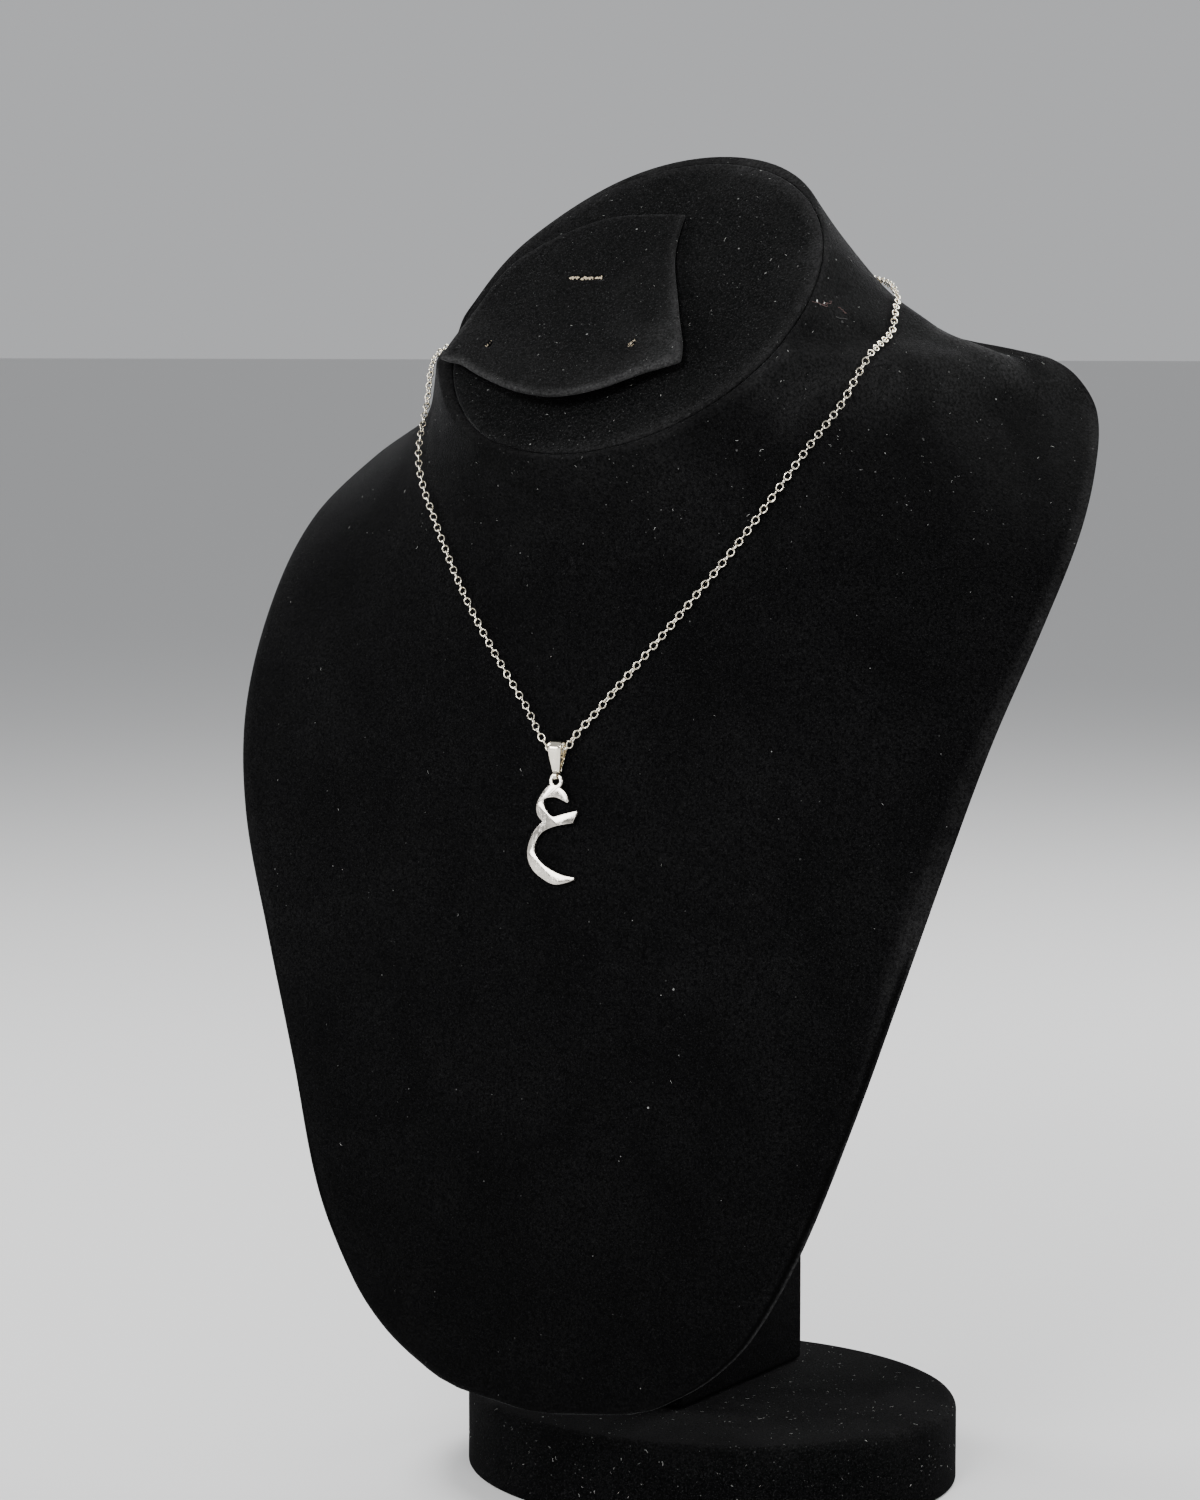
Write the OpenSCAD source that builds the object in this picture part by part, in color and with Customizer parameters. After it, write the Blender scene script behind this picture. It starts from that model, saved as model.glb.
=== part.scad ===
// Initial pendant on its chain, hung on a velvet neck bust.
// Millimetres. +Z is up, the bust faces -Y, and the origin is the middle of the foot's underside.

/* [Bust] */
// Width of the chest where it is widest
chest_w = 213; // [190:1:240]
// How far the chest's foremost line stands in front of the foot's middle
chest_reach = 82; // [76:1:88]
// Height from the lowest tip of the chest to the top of the neck form
chest_h = 293; // [270:1:310]
// Height of the chest's lowest tip above the table
tip_z = 32; // [28:1:40]
// Thickness of the chest's edge, behind the widest line
rim_t = 3; // [2:0.5:5]

/* [Neck top] */
// Half of the oval's width
oval_a = 45.5; // [40:0.5:46]
// Half of the oval's length along the slope
oval_b = 49.3; // [43:0.1:50]
// Slope of the neck's top, from level
oval_tilt = 43.3; // [40:0.1:46]
// Thickness of the oval's board
oval_t = 3; // [2:0.5:4]
// Seam between the board and the neck around it
seam = 0.5; // [0.3:0.1:1]

/* [Earring flap] */
// Width of the flap between its two front corners
flap_w = 68.5; // [60:0.5:69]
// Length of the flap along the slope
flap_l = 63; // [56:0.5:63]
// Thickness of the covered card
flap_t = 1.6; // [1:0.1:2.5]
// How far the flap's front edge is lifted off the board
flap_lift = 3; // [1:0.5:6]
// Distance between the two earring holes
hole_gap = 39.5; // [34:0.5:42]
// Diameter of an earring hole
hole_d = 1.6; // [1:0.1:2]
// Width of the slot for an ear hook
slot_w = 9; // [6:0.2:10]
// Height of that slot
slot_h = 0.8; // [0.6:0.1:1.2]

/* [Foot and post] */
// Width of the oval foot
foot_w = 125; // [115:1:140]
// Depth of the oval foot
foot_d = 110; // [104:1:120]
// Thickness of the foot
foot_t = 20; // [15:1:26]
// Width of the soft edge around the foot's top
foot_edge = 2; // [1:0.5:4]
// Thickness of the post, from side to side
post_w = 11; // [8:0.5:16]
// How far the post reaches behind the foot's middle
post_back = 37; // [32:1:40]
// How far the post reaches in front of the foot's middle
post_front = 24; // [20:1:30]
// Height of the post's top above the table
post_top = 244; // [236:1:248]

/* [Chain] */
// Outside width of a link, which is the chain's diameter
link_w = 1.85; // [1.6:0.05:2.4]
// Gap between the chain and the velvet
chain_gap = 0.35; // [0.3:0.05:0.6]
// Length of the clasp at the nape
clasp_l = 9; // [7:0.5:12]
// Diameter of the clasp
clasp_d = 3.2; // [2.4:0.2:4]

/* [Pendant] */
// Height on the chest of the chain's lowest point
drop_z = 185.8; // [176:0.1:190]
// Radius of the bail's loop, inside
loop_r = 1.25; // [1.25:0.05:1.6]
// Thickness of the bail's strip
strip_t = 0.45; // [0.3:0.05:0.6]
// Width of the bail across its top
bail_w = 3.5; // [3:0.1:5]
// Width of the bail just above the letter
bail_low_w = 1.9; // [1.6:0.1:3]
// Distance from the chain down to the rim of the letter's eye
bail_drop = 6.3; // [5.2:0.1:7]
// Thickness of the letter's plate
letter_t = 0.9; // [0.6:0.05:1]
// Height of the letter below its eye
letter_h = 24; // [20:0.5:26]
// Outside radius of the letter's eye
eye_r = 1.8; // [1.7:0.05:2]
// Radius of the hole in the eye
eye_hole_r = 0.95; // [0.9:0.05:1.05]
// Lean of the hanging pendant, its foot forwards
lean = 3; // [1:0.5:4]

/* [Hidden] */
velvet = [0.03, 0.03, 0.032];
steel = [0.78, 0.77, 0.75];
gap = 0.3;
eps = 0.01;

// Sections of the bust, from the tip up. Columns: height as a share of chest_h; half width as a
// share of half of chest_w; front and widest line as shares of chest_reach, forwards being
// negative; depth behind the widest line as shares of rim_t and of chest_reach; roundness of the
// front, its power across, and squareness of the back.
UP = 0; WIDE = 1; FRONT = 2; SIDE = 3; RIM = 4; BACK = 5; ROUND = 6; POWER = 7; SQUARE = 8;
SECTIONS = [
    [0.000, 0.090, -0.990, -0.940, 1, 0.000, 1.80, 2.00, 8],
    [0.006, 0.230, -0.998, -0.940, 1, 0.000, 1.80, 2.00, 8],
    [0.021, 0.330, -1.000, -0.935, 1, 0.000, 1.80, 2.00, 8],
    [0.045, 0.430, -0.996, -0.928, 1, 0.000, 1.80, 2.00, 8],
    [0.080, 0.520, -0.986, -0.917, 1, 0.000, 1.80, 2.00, 8],
    [0.147, 0.624, -0.963, -0.898, 1, 0.000, 1.80, 2.00, 8],
    [0.249, 0.723, -0.928, -0.840, 1, 0.000, 1.75, 2.00, 8],
    [0.352, 0.818, -0.892, -0.798, 1, 0.000, 1.71, 1.98, 8],
    [0.454, 0.906, -0.860, -0.750, 1, 0.000, 1.62, 1.93, 8],
    [0.539, 0.963, -0.830, -0.646, 1, 0.000, 1.47, 1.85, 8],
    [0.625, 1.000, -0.793, -0.440, 1, 0.000, 1.25, 1.76, 8],
    [0.693, 1.000, -0.793, -0.218, 1, 0.000, 1.05, 1.76, 8],
    [0.744, 0.950, -0.872,  0.022, 1, 0.000, 0.95, 1.88, 8],
    [0.785, 0.875, -0.945,  0.240, 1, 0.010, 0.95, 1.94, 7],
    [0.812, 0.826, -0.990,  0.256, 1, 0.020, 1.00, 1.90, 6],
    [0.829, 0.762, -1.022,  0.238, 1, 0.050, 1.10, 1.90, 5],
    [0.838, 0.675, -1.046,  0.195, 1, 0.090, 1.20, 1.90, 4],
    [0.847, 0.590, -1.060,  0.085, 1, 0.185, 1.30, 1.91, 3],
    [0.864, 0.524, -1.090, -0.010, 1, 0.265, 1.52, 1.93, 2.4],
    [0.881, 0.472, -1.128, -0.095, 1, 0.360, 1.62, 1.95, 2],
    [0.915, 0.414, -1.195, -0.228, 1, 0.445, 1.70, 1.98, 2],
    [0.949, 0.358, -1.268, -0.316, 1, 0.475, 1.85, 2.00, 2],
    [1.000, 0.296, -1.365, -0.375, 1, 0.360, 2.00, 2.00, 2],
];
LAST = len(SECTIONS) - 1;

// Value of one column at height share u, on a smooth curve through the table's rows
function row_of(u, i = 0) = i >= LAST - 1 || u < SECTIONS[i + 1][UP] ? i : row_of(u, i + 1);
function slope(c, i) =
    let (lo = max(i - 1, 0), hi = min(i + 1, LAST))
    (SECTIONS[hi][c] - SECTIONS[lo][c]) / (SECTIONS[hi][UP] - SECTIONS[lo][UP]);
function smooth_col(c, u) =
    let (
        i = row_of(u),
        span = SECTIONS[i + 1][UP] - SECTIONS[i][UP],
        t = (u - SECTIONS[i][UP]) / span
    )
    SECTIONS[i][c] * (1 + 2 * t) * (1 - t) * (1 - t)
    + slope(c, i) * span * t * (1 - t) * (1 - t)
    + SECTIONS[i + 1][c] * t * t * (3 - 2 * t)
    + slope(c, i + 1) * span * t * t * (t - 1);

// Point of the bust's skin at angle a around it (0 front, 90 side, 180 back) and height share u
function half_w(u) = smooth_col(WIDE, u) * chest_w / 2;
function front_y(u) = smooth_col(FRONT, u) * chest_reach;
function side_y(u) = smooth_col(SIDE, u) * chest_reach;
function back_d(u) = smooth_col(RIM, u) * rim_t + smooth_col(BACK, u) * chest_reach;
function across(a) = abs(sin(a));
function front_share(a, u) =
    1 - pow(max(1 - pow(across(a), smooth_col(POWER, u)), 0), 1 / smooth_col(ROUND, u));
function back_share(a, u) = pow(max(1 - pow(across(a), smooth_col(SQUARE, u)), 0), 0.5);
function skin(a, u) = [
    half_w(u) * sin(a),
    cos(a) > 0
        ? front_y(u) + (side_y(u) - front_y(u)) * front_share(a, u)
        : side_y(u) + back_d(u) * back_share(a, u),
    tip_z + chest_h * u
];
function unit(v) = v / norm(v);
function outward(a, u) =
    let (
        da = skin(a + 0.5, u) - skin(a - 0.5, u),
        du = skin(a, u + 0.002) - skin(a, u - 0.002)
    )
    unit(cross(da, du));

// Angles round a section: fine steps near the edge, where the skin turns
EDGE_STEPS = [-90, -86, -81, -75, -68, -60, -52, -44, -36, -28, -20, -12, -4];
FRONT_ANGLES = concat(EDGE_STEPS, [for (i = [len(EDGE_STEPS) - 1:-1:0]) -EDGE_STEPS[i]]);
BACK_ANGLES = [94, 99, 106, 116, 128, 144, 162, 180, 198, 216, 232, 244, 254, 261, 266];
ANGLES = concat(FRONT_ANGLES, BACK_ANGLES);
HEIGHTS = concat(
    [for (i = [0:LAST - 1]) for (k = [0, 0.5]) SECTIONS[i][UP] + k * (SECTIONS[i + 1][UP] - SECTIONS[i][UP])],
    [1]
);

// Closed solid from rings of points, the first and the last ring capped
module loft(rings) {
    n = len(rings[0]);
    m = len(rings);
    polyhedron(
        points = [for (r = rings) each r],
        faces = concat(
            [[for (i = [n - 1:-1:0]) i]],
            [[for (i = [0:n - 1]) (m - 1) * n + i]],
            [for (j = [0:m - 2]) for (i = [0:n - 1]) each [
                [j * n + i, j * n + (i + 1) % n, (j + 1) * n + i],
                [j * n + (i + 1) % n, (j + 1) * n + (i + 1) % n, (j + 1) * n + i]
            ]]
        ),
        convexity = 4
    );
}

module bust_form() {
    loft([for (u = HEIGHTS) [for (a = ANGLES) skin(a, u)]]);
}

// The neck top's oval is centred where its lowest edge meets the throat
throat_y = -72.2;
throat_z = 254.1;
oval_y = throat_y + oval_b * cos(oval_tilt);
oval_z = throat_z + oval_b * sin(oval_tilt);
module on_neck_top() {
    translate([0, oval_y, oval_z]) rotate([oval_tilt, 0, 0]) children();
}
function oval(a, b, n = 72) = [for (i = [0:n - 1]) [a * cos(360 * i / n), b * sin(360 * i / n)]];
lip = 0.6;

module torso() {
    color(velvet) difference() {
        bust_form();
        on_neck_top() translate([-chest_w, -chest_w, -lip]) cube([2 * chest_w, 2 * chest_w, chest_w]);
        on_neck_top() translate([0, 0, -oval_t - gap])
            linear_extrude(oval_t + 2 * gap + lip) polygon(oval(oval_a + seam, oval_b + seam));
    }
}

module neck_top() {
    color(velvet) on_neck_top() translate([0, 0, -oval_t]) linear_extrude(oval_t) polygon(oval(oval_a, oval_b));
}

// Outline of the flap on the board. Columns: place across as a share of flap_w, place up the slope
// as a share of flap_l; the flap sits left of the middle.
FLAP = [
    [-0.491, 0.113], [-0.448, 0.092], [-0.381, 0.066], [-0.290, 0.009], [-0.186, -0.048],
    [-0.089, -0.092], [-0.002, -0.116], [0.079, -0.126], [0.149, -0.114], [0.213, -0.089],
    [0.273, -0.055], [0.329, -0.012], [0.386, 0.028], [0.434, 0.055], [0.492, 0.092],
    [0.461, 0.182], [0.398, 0.310], [0.335, 0.439], [0.270, 0.571], [0.230, 0.660],
    [0.198, 0.750], [0.176, 0.840], [0.160, 0.925], [0.080, 0.929], [0.000, 0.929],
    [-0.074, 0.926], [-0.147, 0.910], [-0.211, 0.878], [-0.272, 0.836], [-0.328, 0.785],
    [-0.380, 0.722], [-0.418, 0.666], [-0.441, 0.600], [-0.454, 0.533], [-0.459, 0.437],
    [-0.467, 0.348], [-0.481, 0.231]
];
flap_x = -9.7;
flap_foot = -29;
hinge_s = flap_foot + 0.9 * flap_l;
holes_s = flap_foot + 0.163 * flap_l;
holes_x = flap_x - 0.014 * flap_w;
slot_s = flap_foot + 0.549 * flap_l;
slot_x = flap_x - 0.076 * flap_w;
flap_pitch = asin((flap_lift - gap) / (hinge_s - flap_foot));

// The flap turns up about its hinge line at the back
module on_flap() {
    on_neck_top() translate([0, hinge_s, gap]) rotate([-flap_pitch, 0, 0]) translate([0, -hinge_s, 0]) children();
}

module earring_flap() {
    color(velvet) on_flap() difference() {
        linear_extrude(flap_t)
            polygon([for (p = FLAP) [flap_x + p[0] * flap_w, flap_foot + p[1] * flap_l]]);
        for (side = [-1, 1])
            translate([holes_x + side * hole_gap / 2, holes_s, -eps])
                cylinder(d = hole_d, h = flap_t + 2 * eps, $fn = 24);
        translate([slot_x - slot_w / 2, slot_s - slot_h / 2, -eps]) cube([slot_w, slot_h, flap_t + 2 * eps]);
    }
}

// Nested ovals, each a little smaller and higher, round the foot's top edge
module foot() {
    steps = 3;
    color(velvet) for (i = [0:steps]) {
        turn = 90 * i / steps;
        inset = foot_edge * (1 - cos(turn)) * 0.9;
        linear_extrude(foot_t - foot_edge * (1 - sin(turn)))
            polygon(oval(foot_w / 2 - inset, foot_d / 2 - inset));
    }
}

// The post stands on the foot and its front edge follows the bust's back
POST_STEPS = 12;
function post_z(i) = post_top - (post_top - foot_t) * 0.35 * i / POST_STEPS;
function back_y(z) = skin(180, (z - tip_z) / chest_h)[1] + gap;
module post() {
    base = foot_t + gap / 3;
    color(velvet) rotate([90, 0, 90]) translate([0, 0, -post_w / 2]) linear_extrude(post_w) polygon(concat(
        [[-post_front, base], [post_back, base], [post_back, post_top]],
        [for (i = [0:POST_STEPS]) if (back_y(post_z(i)) > -post_front) [back_y(post_z(i)), post_z(i)]]
    ));
}

// Route of the chain over the skin, right half, from the bail to the side of the neck.
// Columns: distance from the middle, height above the table.
ROUTE = [
    [9.5, 194.3], [12.7, 198], [20, 206.5], [27, 215], [33.5, 223.5], [39.5, 232], [44.6, 240], [47.1, 244],
    [49.4, 248], [51.1, 251.4], [52.5, 254.8], [54.1, 259], [56, 264.6], [57.6, 270.3], [58.6, 274],
    [58.9, 275.6], [58.6, 277], [57, 280.2], [55.5, 283.7]
];
// The rest of it, round the side to the nape. Columns: angle round the neck, height above the table.
NAPE_ROUTE = [
    [81, 285.9], [89, 287.9], [98, 289.5], [107, 290.9], [118, 292.2], [129, 293.3], [140, 294.3], [150, 295],
    [160, 295.5], [170, 295.8]
];
stand_off = link_w / 2 + chain_gap;
function share_of(z) = (z - tip_z) / chest_h;
function angle_at(x, z) = asin(min(1, x / half_w(share_of(z))));
function on_skin(a, z, off = stand_off) = skin(a, share_of(z)) + off * outward(a, share_of(z));
// The chain lifts off the velvet over its last points, to meet the straight clasp behind the nape
NAPE_END = NAPE_ROUTE[len(NAPE_ROUTE) - 1];
nape_skin = on_skin(NAPE_END[0], NAPE_END[1], 0);
clasp_y = skin(180, share_of(NAPE_END[1]))[1] + clasp_d / 2 + gap;
clasp_off = max(stand_off, (clasp_y - nape_skin[1]) / outward(NAPE_END[0], share_of(NAPE_END[1]))[1]);
LIFT_POINTS = 4;
function nape_off(i) =
    let (k = max(0, i + 1 + LIFT_POINTS - len(NAPE_ROUTE)) / LIFT_POINTS) stand_off + k * (clasp_off - stand_off);

// The bail's loop goes round the chain's lowest point, clear of the velvet
loop_out = loop_r + strip_t;
drop_y = skin(0, share_of(drop_z))[1] - loop_out - gap;
level_run = bail_w / 2 + 0.7;
first_rise = 2.6;
DROP = [
    [0, drop_y, drop_z],
    [level_run, drop_y, drop_z],
    [level_run + first_rise, drop_y, drop_z + first_rise + level_run / 4]
];
DROP_OUT = [0, -1, 0];
RIGHT_PATH = concat(
    [for (i = [1:2]) DROP[i]],
    [for (r = ROUTE) on_skin(angle_at(r[0], r[1]), r[1])],
    [for (i = [0:len(NAPE_ROUTE) - 1]) on_skin(NAPE_ROUTE[i][0], NAPE_ROUTE[i][1], nape_off(i))]
);
RIGHT_OUT = concat(
    [for (i = [1:2]) DROP_OUT],
    [for (r = ROUTE) outward(angle_at(r[0], r[1]), share_of(r[1]))],
    [for (r = NAPE_ROUTE) outward(r[0], share_of(r[1]))]
);
HALF = len(RIGHT_PATH);
function flip(p) = [-p[0], p[1], p[2]];
PATH = concat([for (i = [HALF - 1:-1:0]) flip(RIGHT_PATH[i])], [DROP[0]], RIGHT_PATH);
OUT = concat([for (i = [HALF - 1:-1:0]) flip(RIGHT_OUT[i])], [DROP_OUT], RIGHT_OUT);

SIDES = 8;
module chain() {
    n = len(PATH) - 1;
    rings = [for (i = [0:n])
        let (
            along = unit(PATH[min(i + 1, n)] - PATH[max(i - 1, 0)]),
            beside = unit(cross(OUT[i], along)),
            up = cross(along, beside)
        )
        [for (k = [0:SIDES - 1])
            PATH[i] + link_w / 2 * (cos(360 * k / SIDES) * beside + sin(360 * k / SIDES) * up)]
    ];
    color(steel) loft(rings);
}

// The clasp bridges the two ends of the chain at the nape
nape = PATH[0];
module clasp() {
    width = 2 * abs(nape[0]) - gap;
    color(steel) translate([0, nape[1], nape[2]]) rotate([0, 90, 0]) {
        cylinder(d = clasp_d, h = min(clasp_l, width), center = true, $fn = 32);
        cylinder(d = link_w, h = width, center = true, $fn = 24);
    }
}

// The pendant hangs from the loop's middle and leans with its foot forwards
module hang() {
    translate([0, drop_y, drop_z]) rotate([-lean, 0, 0]) children();
}
rim_mid = (eye_r + eye_hole_r) / 2;
ring_in = 0.78;
ring_out = 1.15;
tab_w = 1;
plate_end = bail_drop - ring_in;

// Side view of the strip, then its front view, drawn with height as the second axis
module strip_side() {
    difference() {
        union() {
            circle(r = loop_out, $fn = 48);
            polygon([[-loop_out, 0], [loop_out, 0], [0.62, -plate_end], [-0.62, -plate_end]]);
        }
        circle(r = loop_r, $fn = 48);
        polygon([[-loop_r, 0], [loop_r, 0], [0.12, -plate_end + 1], [-0.12, -plate_end + 1]]);
    }
}
module strip_front() {
    polygon([
        [-bail_w / 2, loop_out], [bail_w / 2, loop_out], [bail_w / 2 - 0.1, -0.4],
        [bail_low_w / 2, -plate_end], [-bail_low_w / 2, -plate_end], [-bail_w / 2 + 0.1, -0.4]
    ]);
}
module bail() {
    color(steel) hang() {
        intersection() {
            rotate([90, 0, 90]) translate([0, 0, -bail_w]) linear_extrude(2 * bail_w) strip_side();
            rotate([90, 0, 0]) translate([0, 0, -bail_w]) linear_extrude(2 * bail_w) strip_front();
        }
        translate([0, 0, -bail_drop]) rotate([0, 90, 0]) difference() {
            cylinder(r = ring_out, h = tab_w, center = true, $fn = 48);
            cylinder(r = ring_in, h = tab_w + 2 * eps, center = true, $fn = 48);
        }
    }
}

// Outline of the letter from its eye's middle, clockwise from the top left, as shares of letter_h.
// Columns: across, up, and 1 where the outline has a sharp corner.
LETTER = [
    [-0.070, -0.045, 0], [-0.150, -0.125, 0], [-0.201, -0.207, 0], [-0.214, -0.280, 0], [-0.193, -0.346, 0],
    [-0.141, -0.397, 1], [-0.228, -0.492, 0], [-0.280, -0.587, 0], [-0.305, -0.690, 0], [-0.292, -0.778, 0],
    [-0.254, -0.851, 0], [-0.202, -0.902, 0], [-0.133, -0.945, 0], [-0.055, -0.982, 0], [0.032, -0.997, 0],
    [0.143, -0.975, 0], [0.235, -0.939, 1], [0.238, -0.913, 1], [0.117, -0.902, 0], [0.006, -0.869, 0],
    [-0.098, -0.822, 0], [-0.184, -0.755, 0], [-0.223, -0.690, 0], [-0.219, -0.625, 0], [-0.184, -0.551, 0],
    [-0.124, -0.492, 0], [-0.029, -0.448, 0], [0.075, -0.419, 0], [0.204, -0.394, 1], [0.256, -0.280, 1],
    [0.235, -0.273, 1], [0.117, -0.306, 0], [0.022, -0.335, 0], [-0.029, -0.342, 0], [-0.089, -0.302, 0],
    [-0.124, -0.244, 0], [-0.133, -0.192, 0], [-0.098, -0.170, 0], [-0.011, -0.156, 0], [0.075, -0.178, 0],
    [0.140, -0.204, 1], [0.152, -0.185, 1], [0.126, -0.126, 0], [0.065, -0.068, 0]
];
LN = len(LETTER);
function lp(i) = let (p = LETTER[(i + LN) % LN]) [p[0], p[1]] * letter_h;
function sharp(i) = LETTER[(i + LN) % LN][2] == 1;
function between(i, t) =
    let (a = lp(i), b = lp(i + 1), ta = sharp(i) ? b - a : (b - lp(i - 1)) / 2,
         tb = sharp(i + 1) ? b - a : (lp(i + 2) - a) / 2)
    a * (1 + 2 * t) * (1 - t) * (1 - t) + ta * t * (1 - t) * (1 - t)
    + b * t * t * (3 - 2 * t) + tb * t * t * (t - 1);

module letter() {
    color(steel) hang() translate([0, letter_t / 2, -bail_drop - rim_mid]) rotate([90, 0, 0])
        difference() {
            union() {
                linear_extrude(letter_t)
                    polygon([for (i = [0:LN - 1]) for (t = [0, 1 / 3, 2 / 3]) between(i, t)]);
                cylinder(r = eye_r, h = letter_t, $fn = 64);
            }
            translate([0, 0, -eps]) cylinder(r = eye_hole_r, h = letter_t + 2 * eps, $fn = 48);
        }
}

torso();
neck_top();
earring_flap();
post();
foot();
chain();
clasp();
bail();
letter();
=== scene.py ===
"""Looks for the initial pendant on its neck bust: velvet forms, cable chain, bail and letter.

The shapes repeat the sizes of the part's source, in millimetres, and are scaled to metres as they
become meshes. +Z is up and the bust faces -Y.
"""
import math
from contextlib import contextmanager

import bmesh
import bpy
import numpy as np
from mathutils import Matrix, Vector
from mathutils.geometry import delaunay_2d_cdt


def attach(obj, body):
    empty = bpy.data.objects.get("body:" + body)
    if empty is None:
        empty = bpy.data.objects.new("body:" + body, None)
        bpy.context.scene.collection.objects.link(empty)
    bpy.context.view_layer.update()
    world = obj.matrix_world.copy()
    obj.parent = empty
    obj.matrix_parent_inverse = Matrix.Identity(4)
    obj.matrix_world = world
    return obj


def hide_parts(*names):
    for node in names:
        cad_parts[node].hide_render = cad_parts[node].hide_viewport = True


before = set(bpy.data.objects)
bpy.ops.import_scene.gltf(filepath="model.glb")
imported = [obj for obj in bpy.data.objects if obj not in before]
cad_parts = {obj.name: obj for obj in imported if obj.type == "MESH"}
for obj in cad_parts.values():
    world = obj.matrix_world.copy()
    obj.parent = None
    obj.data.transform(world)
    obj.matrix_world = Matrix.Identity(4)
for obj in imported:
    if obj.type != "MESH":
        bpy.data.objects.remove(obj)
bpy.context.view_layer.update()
MM = 0.001
SAME_POINT = 1e-7
rng = np.random.default_rng(7)

# Sizes of the bust, the chain and the pendant, as in the part's source
CHEST_W, CHEST_REACH, CHEST_H = 213.0, 82.0, 293.0
TIP_Z, RIM_T = 32.0, 3.0
OVAL_A, OVAL_B, OVAL_TILT, OVAL_T, SEAM = 45.5, 49.3, 43.3, 3.0, 0.5
THROAT_Y, THROAT_Z, LIP = -72.2, 254.1, 0.6
FLAP_W, FLAP_L, FLAP_T, FLAP_LIFT = 68.5, 63.0, 1.6, 3.0
FLAP_X, FLAP_FOOT, HOLE_GAP, HOLE_D, SLOT_W = -9.7, -29.0, 39.5, 1.6, 9.0
FOOT_W, FOOT_D, FOOT_T = 125.0, 110.0, 20.0
LINK_W, CHAIN_GAP, CLASP_L, CLASP_D = 1.85, 0.35, 9.0, 3.2
DROP_Z, LOOP_R, STRIP_T, BAIL_W, BAIL_LOW_W, BAIL_DROP = 185.8, 1.25, 0.45, 3.5, 1.9, 6.3
RING_IN, RING_OUT, TAB_W, LEAN = 0.78, 1.15, 1.0, 3.0
GAP = 0.3
OVAL_Y = THROAT_Y + OVAL_B * math.cos(math.radians(OVAL_TILT))
OVAL_Z = THROAT_Z + OVAL_B * math.sin(math.radians(OVAL_TILT))

# Sections of the bust from the tip up, as in the source: height, half width, front, widest line,
# back's depth, roundness, power across and squareness of the back
UP, WIDE, FRONT, SIDE, BACK, ROUND, POWER, SQUARE = range(8)
SECTIONS = np.array([
    [0, 0.09, -0.99, -0.94, 0, 1.8, 2, 8],
    [0.006, 0.23, -0.998, -0.94, 0, 1.8, 2, 8],
    [0.021, 0.33, -1, -0.935, 0, 1.8, 2, 8],
    [0.045, 0.43, -0.996, -0.928, 0, 1.8, 2, 8],
    [0.08, 0.52, -0.986, -0.917, 0, 1.8, 2, 8],
    [0.147, 0.624, -0.963, -0.898, 0, 1.8, 2, 8],
    [0.249, 0.723, -0.928, -0.84, 0, 1.75, 2, 8],
    [0.352, 0.818, -0.892, -0.798, 0, 1.71, 1.98, 8],
    [0.454, 0.906, -0.86, -0.75, 0, 1.62, 1.93, 8],
    [0.539, 0.963, -0.83, -0.646, 0, 1.47, 1.85, 8],
    [0.625, 1, -0.793, -0.44, 0, 1.25, 1.76, 8],
    [0.693, 1, -0.793, -0.218, 0, 1.05, 1.76, 8],
    [0.744, 0.95, -0.872, 0.022, 0, 0.95, 1.88, 8],
    [0.785, 0.875, -0.945, 0.24, 0.01, 0.95, 1.94, 7],
    [0.812, 0.826, -0.99, 0.256, 0.02, 1, 1.9, 6],
    [0.829, 0.762, -1.022, 0.238, 0.05, 1.1, 1.9, 5],
    [0.838, 0.675, -1.046, 0.195, 0.09, 1.2, 1.9, 4],
    [0.847, 0.59, -1.06, 0.085, 0.185, 1.3, 1.91, 3],
    [0.864, 0.524, -1.09, -0.01, 0.265, 1.52, 1.93, 2.4],
    [0.881, 0.472, -1.128, -0.095, 0.36, 1.62, 1.95, 2],
    [0.915, 0.414, -1.195, -0.228, 0.445, 1.7, 1.98, 2],
    [0.949, 0.358, -1.268, -0.316, 0.475, 1.85, 2, 2],
    [1, 0.296, -1.365, -0.375, 0.36, 2, 2, 2],
])

# Outline of the flap, as in the source: across and up the slope
FLAP = np.array([
    [-0.491, 0.113], [-0.448, 0.092], [-0.381, 0.066], [-0.29, 0.009], [-0.186, -0.048],
    [-0.089, -0.092], [-0.002, -0.116], [0.079, -0.126], [0.149, -0.114], [0.213, -0.089],
    [0.273, -0.055], [0.329, -0.012], [0.386, 0.028], [0.434, 0.055], [0.492, 0.092],
    [0.461, 0.182], [0.398, 0.31], [0.335, 0.439], [0.27, 0.571], [0.23, 0.66], [0.198, 0.75],
    [0.176, 0.84], [0.16, 0.925], [0.08, 0.929], [0, 0.929], [-0.074, 0.926],
    [-0.147, 0.91], [-0.211, 0.878], [-0.272, 0.836], [-0.328, 0.785], [-0.38, 0.722],
    [-0.418, 0.666], [-0.441, 0.6], [-0.454, 0.533], [-0.459, 0.437], [-0.467, 0.348],
    [-0.481, 0.231],
])
FLAP_CORNERS = (0, 14, 22)

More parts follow.
